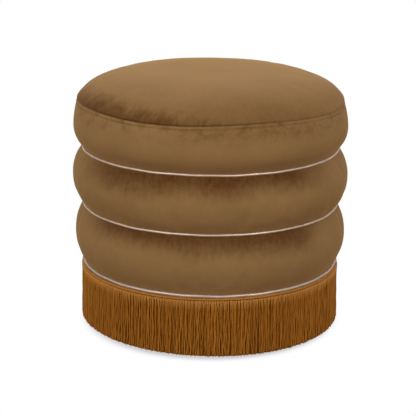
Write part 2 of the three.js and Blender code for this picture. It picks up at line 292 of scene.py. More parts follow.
def outward(outline):
    along = np.gradient(outline, axis=0)
    normal = np.stack([along[:, 1], -along[:, 0]], axis=1)
    return normal / np.maximum(np.hypot(*normal.T), 1e-9)[:, None]


def even_columns(count):
    return BACK + FULL_TURN * np.arange(count) / count


# It turns points of radius and height, and the outward directions of an outline just as well.
def turned_points(outline, columns):
    radius, height = outline.T[:, :, None]
    return np.stack([radius * np.cos(columns), radius * np.sin(columns), height + 0 * columns], axis=2)


def grid_faces(rows, columns, closed_rows=False):
    faces = []
    for i in range(rows if closed_rows else rows - 1):
        low, high = i * columns, (i + 1) % rows * columns
        for j in range(columns):
            after = (j + 1) % columns
            faces.append((low + j, low + after, high + after, high + j))
    return faces


def grid_uv(outline, columns, first=0.0, girth_radius=ROLL_RADIUS):
    up = (first + length_along(outline)) * MM
    around = np.concatenate([columns, [columns[0] + FULL_TURN]]) * girth_radius * MM
    uv = []
    for low, high in zip(up, up[1:]):
        for left, right in zip(around, around[1:]):
            uv += [(left, low), (right, low), (right, high), (left, high)]
    return uv


print("length up a roll's skin:", round(length_along(roll_outline(209, 305, 40))[-1], 1), "mm")

# %% [markdown]
# Every piece is made in the same few steps. Its points are turned from millimetres to metres, it gets its
# map and its material, it rides on the one body there is, and the CAD nodes that it stands for are hidden.

# %% Make a piece of the tuffet
def make_piece(name, points, faces, material, uv=None, replaces=()):
    mesh = bpy.data.meshes.new(name)
    mesh.from_pydata((np.asarray(points).reshape(-1, 3) * MM).tolist(), [], faces)
    if uv is not None:
        layer = mesh.uv_layers.new(name="metres")
        layer.data.foreach_set("uv", np.asarray(uv, dtype=np.float32).ravel())
    mesh.polygons.foreach_set("use_smooth", [True] * len(mesh.polygons))
    mesh.materials.append(material)
    mesh.update()
    piece = bpy.data.objects.new(name, mesh)
    scene.collection.objects.link(piece)
    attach(piece, "root")
    if replaces:
        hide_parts(*replaces)
    print(name, "has", len(faces), "faces")
    return piece


print("a point written as 1000 lies at", 1000 * MM, "m")

# %% [markdown]
# ## Shaping the covers with a cloth simulation
#
# A padded cover is cloth pulled over foam: a little more cloth than the foam needs, held at its edges and
# pushed out from inside. Folds drawn by hand would look alike, and cloth that is simulated finds its own.
# So a closed pad is made, held where it is tacked down, given a little more cloth than its surface and
# blown up gently, with gravity off.

# %% Cloth helpers
PAD_COLUMNS = 180
PAD_INSET = 0.8
CLOTH_PRESSURE = 4
LAST_MOMENT = 20


def mesh_points(mesh):
    flat = np.empty(len(mesh.vertices) * 3)
    mesh.vertices.foreach_get("co", flat)
    return flat.reshape(-1, 3) / MM


def mesh_as_modified(pad):
    return bpy.data.meshes.new_from_object(pad.evaluated_get(bpy.context.evaluated_depsgraph_get()))


def closed_pad(outline):
    points = turned_points(outline, even_columns(PAD_COLUMNS)).reshape(-1, 3)
    mesh = bpy.data.meshes.new("pad")
    mesh.from_pydata((points * MM).tolist(), [], grid_faces(len(outline), PAD_COLUMNS, True))
    pad = bpy.data.objects.new("pad", mesh)
    scene.collection.objects.link(pad)
    return pad


def blown_up(pad, is_tacked, spare_cloth):
    tacked = pad.vertex_groups.new(name="tacked")
    tacked.add(np.nonzero(is_tacked(mesh_points(pad.data)))[0].tolist(), 1.0, "REPLACE")
    cloth = pad.modifiers.new("cloth", "CLOTH")
    cloth.settings.quality = 5
    cloth.settings.mass = 0.3
    cloth.settings.use_pressure = True
    cloth.settings.uniform_pressure_force = CLOTH_PRESSURE
    cloth.settings.shrink_min = -spare_cloth
    cloth.settings.vertex_group_mass = "tacked"
    cloth.settings.effector_weights.gravity = 0
    cloth.point_cache.frame_start = 1
    cloth.point_cache.frame_end = LAST_MOMENT
    for moment in range(1, LAST_MOMENT + 1):
        scene.frame_set(moment)
    return mesh_points(mesh_as_modified(pad))


print("the simulation is", "on")

# %% [markdown]
# A pad is first remeshed to even squares, so that it gives way alike everywhere. The small swells that come
# out are then carried over to the fine skin, which keeps its seams where they are: each of its points moves
# by the mean of the nearest pad points, and nearer ones count more. How far a point may move is capped, so
# the tuffet keeps its measured outline.

# %% Carry the swells over
def swelling(outline, is_tacked, square, spare_cloth, cap):
    pad = closed_pad(outline)
    remesh = pad.modifiers.new("even squares", "REMESH")
    remesh.mode = "VOXEL"
    remesh.voxel_size = square * MM
    even = mesh_as_modified(pad)
    pad.modifiers.clear()
    pad.data = even
    start = mesh_points(even)
    moved = blown_up(pad, is_tacked, spare_cloth) - start
    scene.frame_set(1)
    bpy.data.objects.remove(pad)
    reach = np.linalg.norm(moved, axis=1, keepdims=True)
    moved *= np.minimum(1, cap / np.maximum(reach, 1e-6))
    tree = KDTree(len(start))
    for i, point in enumerate(start):
        tree.insert(point, i)
    tree.balance()
    print("cloth points:", len(start), "moved by", round(float(reach.mean()), 2), "mm on average")
    return tree, moved


def carried_over(points, normals, simulated, spread=6.0, neighbours=10):
    out = np.zeros(points.shape[:-1])
    if simulated is None:
        return out
    tree, moved = simulated
    for place in np.ndindex(out.shape):
        near = tree.find_n(points[place], neighbours)
        weights = np.exp(-np.array([n[2] for n in near]) ** 2 / (2 * spread ** 2)) + 1e-9
        mean = (moved[[n[1] for n in near]] * weights[:, None]).sum(axis=0) / weights.sum()
        out[place] = mean @ normals[place]
    return out


print("a pad has", PAD_COLUMNS, "columns before it is remeshed")

# %% [markdown]
# ## Small irregularities
#
# Hand-pulled covers are never quite round. A few waves with fixed random phases, whole numbers of them
# round the body, give a slow unevenness, and finer ones give the small gathers where the cover is drawn in
# to the hoop. The seed is fixed, so each run gives the same tuffet.

# %% Waves round the body
SEED = 41
GATHER_REACH = 5
dice = np.random.default_rng(SEED)


def waves_round(shortest, longest, count, climb=0.0, radius=ROLL_RADIUS):
    turns = np.round(dice.uniform(FULL_TURN * radius / longest, FULL_TURN * radius / shortest, count))
    phases = dice.uniform(0, FULL_TURN, count)
    climbs = dice.normal(0, climb, count)
    return turns, phases, climbs


def wave_height(waves, angle, height=0.0):
    total = sum(np.sin(t * angle + p + c * height) for t, p, c in zip(*waves))
    return total / math.sqrt(len(waves[0]) / 2)


def bell(distance, middle, width):
    return np.exp(-((distance - middle) / width) ** 2)


def slow_unevenness(columns, along):
    return wave_height(waves_round(90, 500, 6, 0.01), columns, along)


def hoop_gathers(columns, from_edge):
    reach = from_edge / GATHER_REACH
    return wave_height(waves_round(9, 22, 14), columns) * reach * np.exp(1 - reach)


print("slow waves, turns round the body:", waves_round(120, 500, 5)[0])

# %% [markdown]
# ## Velvet
#
# The rolls are covered in a cotton velvet: a woven ground with a dense cut pile about a millimetre and a
# half long. The pile drinks in light that meets it head on and shows a pale sheen where it is seen from
# the side, so the material is very rough with a strong, soft sheen. Where the pile is pressed or stroked
# the other way it looks darker and richer, with a grainy, feathered edge. There are millions of tufts, far
# too many to make one by one, so noise stands for them.

# %% Velvet material
PALE_PILE = "#8C6A43"
# The dark colour stands for darker pile, and it is also painted in as shade.
DARK_PILE_AND_SHADE = "#4C2803"


def streaks_of_pile(material, place, width, length):
    stretched = add_node(material, "Mapping", {
        "Vector": place, "Scale": (1 / (width * MM), 1 / (length * MM), 1),
    })
    return add_node(material, "TexNoise", {
        "Vector": stretched, "Scale": 1.0, "Detail": 3.0, "Roughness": 0.6,
    })


def velvet(name, dark_pile_and_painted_shade_where):
    material = new_material(name)
    place = add_node(material, "UVMap", uv_map="metres")
    dark_pile_and_painted_shade = dark_pile_and_painted_shade_where(material, place)
    # Soft patches are 50 to 100 mm wide.
    patches = add_node(material, "TexNoise", {
        "Vector": place, "Scale": 14.0, "Detail": 3.0, "Roughness": 0.5,
    })
    streaks = streaks_of_pile(material, place, 3, 30)
    # Single tufts are half a millimetre wide, and are drawn at 1.5 mm so that they show.
    tufts = add_node(material, "TexNoise", {
        "Vector": place, "Scale": 650.0, "Detail": 2.0, "Roughness": 0.7,
    })
    # Ruffled flecks are 4 to 10 mm wide.
    flecks = add_node(material, "TexNoise", {
        "Vector": place, "Scale": 130.0, "Detail": 5.0, "Roughness": 0.65,
    })
    patch_tone = add_node(material, "MapRange", {
        "Value": patches, "From Min": 0.3, "From Max": 0.7, "To Min": 0.02, "To Max": 0.14,
    })
    bumps = add_node(material, "Math", {0: tufts, 1: streaks}, operation="ADD")
    # The grain shows about four times as strongly where the share of dark pile and painted shade is high.
    grain_reach = add_node(material, "MapRange", {"Value": dark_pile_and_painted_shade, "To Min": 0.1, "To Max": 0.36})
    ruffled = add_node(material, "Math", {0: flecks, 1: 2.0, 2: bumps}, operation="MULTIPLY_ADD")
    grain = add_node(material, "MapRange", {
        "Value": ruffled, "From Min": 1.4, "From Max": 2.6, "To Min": -0.5, "To Max": 0.5,
    })
    grain_tone = add_node(material, "Math", {0: grain, 1: grain_reach}, operation="MULTIPLY")
    tone = add_node(material, "Math", {0: patch_tone, 1: grain_tone}, operation="ADD")
    pile = add_node(material, "Math", {0: tone, 1: dark_pile_and_painted_shade}, operation="ADD", use_clamp=True)
    shade = add_node(material, "Mix", {0: pile, 6: paint(PALE_PILE), 7: paint(DARK_PILE_AND_SHADE)}, data_type="RGBA")
    relief = add_node(material, "Bump", {"Height": bumps, "Strength": 0.25, "Distance": 0.6 * MM})
    return dress(material, {
        "Base Color": shade.outputs[2],
        "Roughness": 0.95,
        "Specular IOR Level": 0.15,
        "Sheen Weight": 0.5,
        "Sheen Roughness": 0.35,
        "Sheen Tint": paint("#CFA76F"),
        "Normal": relief,
    })


print("pile colours:", PALE_PILE, "and pressed", DARK_PILE_AND_SHADE)

# %% [markdown]
# ## Where the pile is darker and where shade is painted
#
# Each kind of place has its own small function, which gives a share from 0, the pale pile, to 1, the dark
# colour. Below a piping lies a zone of painted shade, where the roll above overhangs, and its lower edge is
# drawn out in streaks. It fades out on two opposite sides of the body, and it is narrower on the lower
# roll.
# The zone is set out by height and angle, and only its edge is left to noise, so that it lies where it does
# on the real rolls.

# %% The painted shade below a piping
# The painted shade is deepest this many metres round the map, which is close to the front, and again at the
# back.
DEEPEST_AT = 1.067


# Painted shade below a piping, under the overhang of the roll above, with a streaked edge.
def painted_shade_under_piping(material, place):
    within = add_node(material, "TexCoord")
    height = add_node(material, "SeparateXYZ", {0: within.outputs["Generated"]})
    parts = add_node(material, "SeparateXYZ", {0: place})
    half_turn = math.pi * ROLL_RADIUS * MM
    turns = add_node(material, "Math", {
        0: parts.outputs["X"], 1: FULL_TURN / half_turn, 2: -FULL_TURN * DEEPEST_AT / half_turn,
    }, operation="MULTIPLY_ADD")
    two_sides = add_node(material, "Math", {0: turns}, operation="COSINE")
    slid = add_node(material, "Mapping", {"Vector": place, "Location": (0.37, 0.11, 0)})
    slow = add_node(material, "TexNoise", {"Vector": slid, "Scale": 9.0, "Detail": 1.0})
    slow_reach = add_node(material, "MapRange", {
        "Value": slow, "From Min": 0.3, "From Max": 0.7, "To Min": -0.07, "To Max": 0.07,
    })
    feather = streaks_of_pile(material, place, 12, 22)
    feather_reach = add_node(material, "MapRange", {
        "Value": feather, "From Min": 0.3, "From Max": 0.7, "To Min": -0.045, "To Max": 0.045,
    })
    edge = add_node(material, "Math", {0: slow_reach, 1: feather_reach}, operation="ADD")
    less_below = add_node(material, "MapRange", {
        "Value": parts.outputs["Y"], "From Min": 0.2, "From Max": 0.28, "To Min": -0.04, "To Max": 0.0,
    })
    edge = add_node(material, "Math", {0: edge, 1: less_below}, operation="ADD")
    level = add_node(material, "Math", {0: height.outputs["Z"], 1: edge}, operation="ADD")
    depth = add_node(material, "MapRange", {
        "Value": level, "From Min": 0.5, "From Max": 0.93, "To Min": 0.0, "To Max": 0.75,
    }, interpolation_type="SMOOTHSTEP")
    sideways = add_node(material, "MapRange", {
        "Value": two_sides, "From Min": -0.8, "From Max": 0.25,
    }, interpolation_type="SMOOTHSTEP")
    return add_node(material, "Math", {0: depth, 1: sideways}, operation="MULTIPLY")


print("deepest at", round(math.degrees(DEEPEST_AT / (ROLL_RADIUS * MM))), "degrees round the body")

# %% [markdown]
# The seat's band has small dark flecks near the seam, and one soft patch of painted shade in front, where
# the velvet is seen head on. Hands leave such flecks at random, so they are noise, and only their strength
# is tied to the height.

# %% The flecks and the painted shade below the seam
FRONT_SHADE_AT = math.radians(285)


def flecks_and_painted_shade_below_seam(material, place):
    within = add_node(material, "TexCoord")
    height = add_node(material, "SeparateXYZ", {0: within.outputs["Generated"]})
    near = add_node(material, "MapRange", {
        "Value": height.outputs["Z"], "From Min": 0.5, "From Max": 0.9, "To Min": 0.0, "To Max": 1.0,
    }, interpolation_type="SMOOTHSTEP")
    flecks = add_node(material, "TexNoise", {
        "Vector": place, "Scale": 55.0, "Detail": 6.0, "Roughness": 0.7,
    })
    where = add_node(material, "MapRange", {
        "Value": flecks, "From Min": 0.46, "From Max": 0.68, "To Min": 0.0, "To Max": 0.42,
    })
    # A soft patch of painted shade in front, where the velvet is seen head on.
    parts = add_node(material, "SeparateXYZ", {0: place})
    turns = add_node(material, "Math", {
        0: parts.outputs["X"], 1: 1 / (ROLL_RADIUS * MM), 2: -FRONT_SHADE_AT,
    }, operation="MULTIPLY_ADD")
    one_side = add_node(material, "Math", {0: turns}, operation="COSINE")
    painted_front_shade = add_node(material, "MapRange", {
        "Value": one_side, "From Min": 0.8, "From Max": 1.0, "To Min": 0.0, "To Max": 0.2,
    }, interpolation_type="SMOOTHSTEP")
    flecks_and_painted_shade = add_node(material, "Math", {0: where, 1: painted_front_shade}, operation="ADD")
    return add_node(material, "Math", {0: near, 1: flecks_and_painted_shade}, operation="MULTIPLY")


print("rubbed at", round(math.degrees(FRONT_SHADE_AT)), "degrees round the body")

# %% [markdown]
# On the panel a darker patch with a grainy edge runs along the rim on one side, and painted shade darkens
# the velvet towards the front and the edge, where the crown slopes down towards the camera. The patch
# follows the rim, so it is set out by the distance from the middle together with the way to that side.

# %% The seat's patch and painted shade, and the three velvets
def patch_and_painted_shade_on_seat(material, place):
    rough_edge = add_node(material, "TexNoise", {
        "Vector": place, "Scale": 60.0, "Detail": 6.0, "Roughness": 0.7,
    })
    edge_push = add_node(material, "MapRange", {
        "Value": rough_edge, "From Min": 0.3, "From Max": 0.7, "To Min": -0.01, "To Max": 0.01,
    })
    from_middle = add_node(material, "VectorMath", {0: place}, operation="LENGTH")
    to_one_side = add_node(material, "VectorMath", {
        0: place, 1: (-0.201, -0.131, 0),
    }, operation="DOT_PRODUCT")
    along_rim = add_node(material, "Math", {
        0: from_middle.outputs["Value"], 1: 0.76, 2: to_one_side.outputs["Value"],
    }, operation="MULTIPLY_ADD")
    pushed = add_node(material, "Math", {0: along_rim, 1: edge_push}, operation="ADD")
    rim_patch = add_node(material, "MapRange", {
        "Value": pushed, "From Min": 0.19, "From Max": 0.226, "To Min": 0.0, "To Max": 0.58,
    }, interpolation_type="SMOOTHSTEP")
    # Painted shade towards the front and the edge, where the crown slopes towards the camera.
    forward = add_node(material, "VectorMath", {0: place, 1: (0.259, -0.966, 0)}, operation="DOT_PRODUCT")
    to_front = add_node(material, "MapRange", {
        "Value": forward.outputs["Value"],
        "From Min": 0.155, "From Max": 0.225, "To Min": 0.0, "To Max": 0.24,
    })
    to_edge = add_node(material, "MapRange", {
        "Value": from_middle.outputs["Value"],
        "From Min": 0.155, "From Max": 0.225, "To Min": 0.0, "To Max": 0.2,
    })
    painted_shade_to_front_and_edge = add_node(material, "Math", {0: to_front, 1: to_edge}, operation="ADD")
    return add_node(material, "Math", {0: rim_patch, 1: painted_shade_to_front_and_edge}, operation="ADD")


roll_velvet = velvet("Cotton velvet, painted shade under the pipings", painted_shade_under_piping)
band_velvet = velvet("Cotton velvet, flecks and painted shade below the seam", flecks_and_painted_shade_below_seam)
seat_velvet = velvet("Cotton velvet, patch and painted shade on the seat", patch_and_painted_shade_on_seat)
print("velvets:", [m.name for m in (roll_velvet, band_velvet, seat_velvet)])

# %% [markdown]
# ## The two roll covers
#
# Each cover is a tube of velvet pulled over a foam ring and drawn in to a hoop above and below. It is sewn
# up once, at the back, where the seam lies in a small groove. The columns stand closer together there, as a
# grid that fine all round would be heavy for nothing.

# %% Helpers for a cover's columns and joint
COVER_COLUMNS = 470
JOINT_OFFSETS = (0.7, 1.5, 2.6, 4.2)
# Near a hoop or a seam the cloth lies still. Elsewhere the pad's usual swell is taken off again, so that
# a roll keeps its measured width.
SETTLED_BY = 9
USUAL_SWELL = 0.5


def cover_columns(count, joint_offsets=JOINT_OFFSETS):
    near = np.array(joint_offsets) / ROLL_RADIUS
    spread = np.linspace(near[-1], FULL_TURN - near[-1], count)
    return BACK + np.concatenate([[0.0], near[:-1], spread, FULL_TURN - near[:-1][::-1]])


def from_back(columns):
    return np.abs((columns - BACK + math.pi) % FULL_TURN - math.pi) * ROLL_RADIUS


def joint_groove(columns):
    off = from_back(columns)
    return -0.9 * bell(off, 0, 0.9) + 0.25 * bell(off, 2.4, 1.1)


print("columns round a cover:", len(cover_columns(COVER_COLUMNS)))

# %% [markdown]
# A cover's skin is its outline turned about the axis, with the swells of the simulated pad, a slow
# unevenness and small gathers near the hoops added along the surface's normal. The simulated pad itself is
# too coarse for the gathers and the joint, so the skin keeps a finer grid of its own. The middle roll is
# stuffed more fully than the lower one.

# %% Make the roll covers
def roll_swelling(low, high):
    inside = VALLEY_RADIUS - 15
    outline = np.concatenate([
        roll_outline(low, high, 30, PAD_INSET), [[inside, high - 2], [inside, low + 2]],
    ])

    def is_tacked(points):
        near_hoop = np.abs(points[:, 2] - (low + high) / 2) > 0.93 * (high - low) / 2
        return (np.hypot(points[:, 0], points[:, 1]) < VALLEY_RADIUS - 1) | near_hoop

    return swelling(outline, is_tacked, square=5.5, spare_cloth=0.01, cap=2.0)


def roll_cover(name, node, low, high, fuller):
    skin = roll_outline(low, high, 45)
    columns = cover_columns(COVER_COLUMNS)
    points = turned_points(skin, columns)
    normals = turned_points(outward(skin), columns)
    swell = carried_over(points, normals, roll_swelling(low, high))
    along = length_along(skin)[:, None]
    from_edge = np.minimum(along, along[-1] - along)
    settled = 1 - bell(from_edge, 0, SETTLED_BY)
    swell += 0.35 * slow_unevenness(columns, along) + joint_groove(columns) - USUAL_SWELL
    swell *= settled
    swell += 0.168 * hoop_gathers(columns, from_edge)
    swell += fuller * bulge(np.linspace(-1, 1, len(skin)))[:, None]
    points += normals * swell[:, :, None]
    low_tuck, high_tuck = [[[LINING_RADIUS, height]] for height in (skin[0, 1], skin[-1, 1])]
    full = np.concatenate([low_tuck, skin, high_tuck])
    rows = turned_points(full, columns)
    rows[1:-1] = points
    uv = grid_uv(full, columns, low)
    cover = make_piece(name, rows, grid_faces(len(full), len(columns)), roll_velvet, uv, [node])


roll_cover("lower_roll_velvet", "lower_roll_cover", LEVELS["lower"], LEVELS["middle"], fuller=-1.1)
roll_cover("middle_roll_velvet", "middle_roll_cover", LEVELS["middle"], LEVELS["upper"], fuller=2.2)

# %% [markdown]
# ## The seat cushion
#
# The top roll is the seat itself. A band of velvet goes up its side to a seam, and a round panel covers
# its crown. One pad is simulated for both, with very little spare cloth because the seat is pulled tight,
# and then the band and the panel are made as separate skins that meet in the seam.

# %% Simulate the seat pad
SEAT_BOARD_TOP = 313


def is_tacked_on_seat(points):
    girth = np.hypot(points[:, 0], points[:, 1])
    height = points[:, 2]
    beside_board = height < SEAT_BOARD_TOP - 4
    on_board = (height < SEAT_BOARD_TOP + 0.5) & (girth < LINING_RADIUS)
    in_seam = (np.abs(height - LEVELS["seam"]) < 3) & (girth > SEAM_RADIUS - 6)
    return beside_board | on_board | in_seam


seat_swelling = None
seat_pad_outline = np.concatenate([
    [[0.5, SEAT_BOARD_TOP], [LINING_RADIUS - 2, SEAT_BOARD_TOP]],
    band_outline(np.linspace(-0.98, 0.97, 16), PAD_INSET),
    crown_outline(np.sin(np.linspace(QUARTER_TURN, 0.02, 34)) * 0.995, PAD_INSET),
    [[0.5, top_of_seat - PAD_INSET]],
])
seat_swelling = swelling(seat_pad_outline, is_tacked_on_seat, square=6.0, spare_cloth=0.003, cap=1.5)
print("seat pad", "not simulated" if seat_swelling is None else "simulated")

# %% [markdown]
# ## The seam
#
# The seam pulls the cloth in to a narrow groove. On the band the folded edges lift the cloth a little
# below it, and a line of stitches presses them flat again. A hand-guided seam isn't quite level: it rises
# and falls four times round the seat, and it is softer on one side. The seat also sits a little off
# centre.

# %% Seam helpers
STITCH_DROP = 6.2
OFF_CENTRE = 0.8
SEAM_TUCK_RADIUS = SEAM_RADIUS - 3.5
SEAM_DEPTH, SEAM_REACH = 1.15, 22
SEAM_DROP, SEAM_WAVE, SEAM_WAVES = 1.3, 1.8, 4
LOW_SEAM_AT = math.radians(248)
SOFT_SEAM_AT, SOFT_SEAM_SPREAD = math.radians(318), 0.5


def distances_from_seam(first, growth, reach):
    steps = [0.0]
    while steps[-1] < reach:
        steps.append(steps[-1] + first * growth ** len(steps))
    return np.array(steps) * reach / steps[-1]


def evened(outline, wanted):
    along = length_along(outline)
    return np.stack([np.interp(wanted, along, outline[:, k]) for k in (0, 1)], axis=1)


def seam_level(columns, distance):
    level = -SEAM_DROP - SEAM_WAVE * np.cos(SEAM_WAVES * (columns - LOW_SEAM_AT))
    return level * bell(distance, 0, SEAM_REACH)


def seam_relief(distance, on_band, columns):
    firm = 1 - 1.25 * np.exp(-((columns % FULL_TURN - SOFT_SEAM_AT) / SOFT_SEAM_SPREAD) ** 4)
    groove = -SEAM_DEPTH * firm * bell(distance, 0, 1.5 if on_band else 1.1)
    if not on_band:
        return groove + 0.3 * bell(distance, 3.0, 1.8)
    return groove + 0.5 * bell(distance, 3.1, 1.6) - 0.55 * bell(distance, STITCH_DROP, 0.8)


print("stitches lie", STITCH_DROP, "mm below the seam")

# %% [markdown]
# ## The seat band
#
# The band's rows stand close together near the seam and near the piping, where the cloth bends most, and
# wide apart between. Its lower edge is gathered in to the board as a roll's is.

# %% Make the seat band
band_shares = np.concatenate([-np.sin(np.linspace(QUARTER_TURN, 0, 60)), np.linspace(0.02, 1, 60)])
dense_band = band_outline(band_shares)
band_length = length_along(dense_band)[-1]
edge_steps = np.array([0.0, 0.5, 1.2, 2.2, 3.6, 5.4, 7.6])
seam_steps = band_length - distances_from_seam(0.5, 1.07, band_length - 12)
band_rows = np.unique(np.round(np.concatenate([edge_steps, seam_steps]), 3))
band_skin = evened(dense_band, band_rows)
band_columns = cover_columns(COVER_COLUMNS)
band_points = turned_points(band_skin, band_columns)
band_normals = turned_points(outward(band_skin), band_columns)

from_low = band_rows[:, None]
from_seam = band_length - from_low
calm = (1 - bell(from_low, 0, SETTLED_BY)) * (1 - bell(from_seam, 0, 7))
band_swell = carried_over(band_points, band_normals, seat_swelling) - USUAL_SWELL
band_swell += 0.3 * slow_unevenness(band_columns, from_low) + joint_groove(band_columns)
band_swell *= calm
band_swell += 0.17 * hoop_gathers(band_columns, from_low)
band_swell += 0.12 * wave_height(waves_round(6, 14, 12), band_columns) * bell(from_seam, 5, 5)
band_swell += seam_relief(from_seam, True, band_columns)
band_points += band_normals * band_swell[:, :, None]

low_tuck = [[LINING_RADIUS, band_skin[0, 1]]]
seam_tuck = [[SEAM_TUCK_RADIUS, LEVELS["seam"] - 0.1]]
band_full = np.concatenate([low_tuck, band_skin, seam_tuck])
band_all = turned_points(band_full, band_columns)
band_all[1:-1] = band_points
band_all[1:-1, :, 2] += seam_level(band_columns, from_seam)
band_all[-1, :, 2] += seam_level(band_columns, 0.0)
band_all[1:-1, :, 0] -= OFF_CENTRE * from_low / band_length
band_all[-1, :, 0] -= OFF_CENTRE
band_faces = grid_faces(len(band_full), len(band_columns))
band_uv = grid_uv(band_full, band_columns, LEVELS["upper"])
seat_band = make_piece(
    "seat_band_velvet", band_all, band_faces, band_velvet, band_uv, ["top_band"],
)
print("length up the band's skin:", round(band_length, 1), "mm")

# %% [markdown]
# ## The seat panel
#
# A disc of quads avoids the pinched pole that a turned mesh has in its middle. A square grid is mapped on
# to a disc ring by ring, and its rings are set closer together towards the seam, where the crown bends.

# %% Map a square grid on to the crown
PANEL_RINGS = 60
PANEL_SIDE = 2 * PANEL_RINGS
dense_crown = crown_outline(np.sin(np.linspace(QUARTER_TURN, 0, 400)))
crown_length = length_along(dense_crown)[-1]
ring_steps = distances_from_seam(0.55, 1.047, crown_length)
ring_places = np.linspace(0, 1, PANEL_RINGS + 1)
ring_steps = np.interp(ring_places, np.linspace(0, 1, len(ring_steps)), ring_steps)
ring_outline = evened(dense_crown, ring_steps)
ring_normals = -outward(ring_outline)
ring_normals[-1] = (0, 1)
ring_normals *= np.sign(ring_normals[:, 1] + 1e-9)[:, None]


def angle_on_square(x, y):
    if x == 0 and y == 0:
        return 0.0
    if abs(x) >= abs(y):
        return math.pi / 4 * y / x + (math.pi if x < 0 else 0)
    return QUARTER_TURN - math.pi / 4 * x / y + (math.pi if y < 0 else 0)


def turned_to(pairs, angles):
    return np.stack([pairs[:, 0] * np.cos(angles), pairs[:, 0] * np.sin(angles), pairs[:, 1]], axis=1)


across = range(-PANEL_RINGS, PANEL_RINGS + 1)
panel_ring = np.array([PANEL_RINGS - max(abs(x), abs(y)) for y in across for x in across])
square_angle = np.array([angle_on_square(x, y) for y in across for x in across])
panel_points = turned_to(ring_outline[panel_ring], square_angle)
panel_normals = turned_to(ring_normals[panel_ring], square_angle)
panel_angle = np.arctan2(panel_points[:, 1], panel_points[:, 0])
print("panel points:", len(panel_points), "in", PANEL_RINGS, "rings")

# %% [markdown]
# The simulated pad balloons a little more than the real seat, which is held down by its filling. So only
# the uneven part of its swell is kept. A soft shoulder is added near the seam, and a few broad, shallow
# dents where the seat has been sat on.

# %% Make the seat panel
UNEVEN_SHARE = 0.7
PANEL_DROP = 0.7
SHOULDER_RISE, SHOULDER_AT, SHOULDER_WIDTH = 1.6, 30, 26
from_seam = ring_steps[panel_ring]
calm = 1 - bell(from_seam, 0, SETTLED_BY)
panel_swell = carried_over(panel_points, panel_normals, seat_swelling)
panel_swell = (UNEVEN_SHARE * (panel_swell - panel_swell.mean()) - PANEL_DROP) * calm
panel_swell += SHOULDER_RISE * bell(from_seam, SHOULDER_AT, SHOULDER_WIDTH)
x, y = panel_points[:, 0], panel_points[:, 1]
dents = 0.2 * np.sin(x / 41 + 1.3) * np.sin(y / 33 + 0.4) + 0.1 * np.sin(x / 23 + y / 31)
panel_swell += dents * calm + seam_relief(from_seam, False, panel_angle)
panel_swell += 0.1 * wave_height(waves_round(8, 18, 12), panel_angle) * bell(from_seam, 6, 5)
panel_points += panel_normals * panel_swell[:, None]
panel_points[:, 2] += seam_level(panel_angle, from_seam)
panel_points[:, 0] -= OFF_CENTRE

edge = sorted(np.nonzero(panel_ring == 0)[0].tolist(), key=lambda k: panel_angle[k])
edge_angles = panel_angle[edge]
edge_inside = np.stack([
    SEAM_TUCK_RADIUS * np.cos(edge_angles) - OFF_CENTRE,
    SEAM_TUCK_RADIUS * np.sin(edge_angles),
    LEVELS["seam"] + 0.1 + seam_level(edge_angles, 0.0),
], axis=1)
turned_in = len(panel_points)
panel_points = np.concatenate([panel_points, edge_inside])

panel_faces = []
for row in range(PANEL_SIDE):
    for column in range(PANEL_SIDE):
        corner = row * (PANEL_SIDE + 1) + column
        above = corner + PANEL_SIDE + 1
        panel_faces.append((corner, corner + 1, above + 1, above))
for i, k in enumerate(edge):
    after = (i + 1) % len(edge)
    panel_faces.append((k, turned_in + i, turned_in + after, edge[after]))
panel_uv = [panel_points[v, :2] * MM for face in panel_faces for v in face]
seat_panel = make_piece(
    "seat_panel_velvet", panel_points, panel_faces, seat_velvet, panel_uv, ["top_panel"],
)
print("length from seam to middle:", round(crown_length, 1), "mm")

# %% [markdown]
# ## The pipings
#
# Each valley is closed by a piping: a cord wrapped in a soft artificial leather with a pale pink, silvery
# metallic coat. The coat is thin and satin, so it gives a bright soft line where it faces the light and
# turns to a cool grey at its edges. The grain is that of a fine leather print, with the small pulls that
# the wrapping gets from being bent round a cord.

# %% Piping material
piping_coat = new_material("Metallic coated artificial leather, satin")
piping_place = add_node(piping_coat, "UVMap", uv_map="metres")
grain = add_node(piping_coat, "TexVoronoi", {
    "Vector": piping_place, "Scale": 1400.0,
}, feature="DISTANCE_TO_EDGE")
pulled = add_node(piping_coat, "Mapping", {"Vector": piping_place, "Scale": (260, 60, 1)})
pulls = add_node(piping_coat, "TexNoise", {"Vector": pulled, "Scale": 1.0, "Detail": 3.0})
worn = add_node(piping_coat, "TexNoise", {"Vector": piping_place, "Scale": 70.0, "Detail": 4.0})
coat_tone = add_node(piping_coat, "MapRange", {"Value": worn, "From Min": 0.35, "From Max": 0.65})
coat_colour = add_node(piping_coat, "Mix", {
    0: coat_tone, 6: paint("#DFC9BA"), 7: paint("#CCB8AA"),
}, data_type="RGBA")
# The lowest piping is painted a little darker near the floor, as painted shade.
coat_within = add_node(piping_coat, "TexCoord")
coat_height = add_node(piping_coat, "SeparateXYZ", {0: coat_within.outputs["Object"]})
painted_low_shade = add_node(piping_coat, "MapRange", {
    "Value": coat_height.outputs["Z"], "From Min": 0.12, "From Max": 0.19, "To Min": 0.4, "To Max": 0.0,
})
coat_shade = add_node(piping_coat, "Mix", {
    0: painted_low_shade, 6: coat_colour.outputs[2], 7: paint("#A8978C"),
}, data_type="RGBA")
coat_rough = add_node(piping_coat, "MapRange", {
    "Value": worn, "From Min": 0.3, "From Max": 0.7, "To Min": 0.38, "To Max": 0.46,
})
grain_height = add_node(piping_coat, "Math", {0: grain.outputs["Distance"], 1: pulls}, operation="ADD")
coat_relief = add_node(piping_coat, "Bump", {"Height": grain_height, "Strength": 0.2, "Distance": 0.2 * MM})
dress(piping_coat, {
    "Base Color": coat_shade.outputs[2],
    "Metallic": 0.75,
    "Roughness": coat_rough,
    "Normal": coat_relief,
})
print("piping:", piping_coat.name)

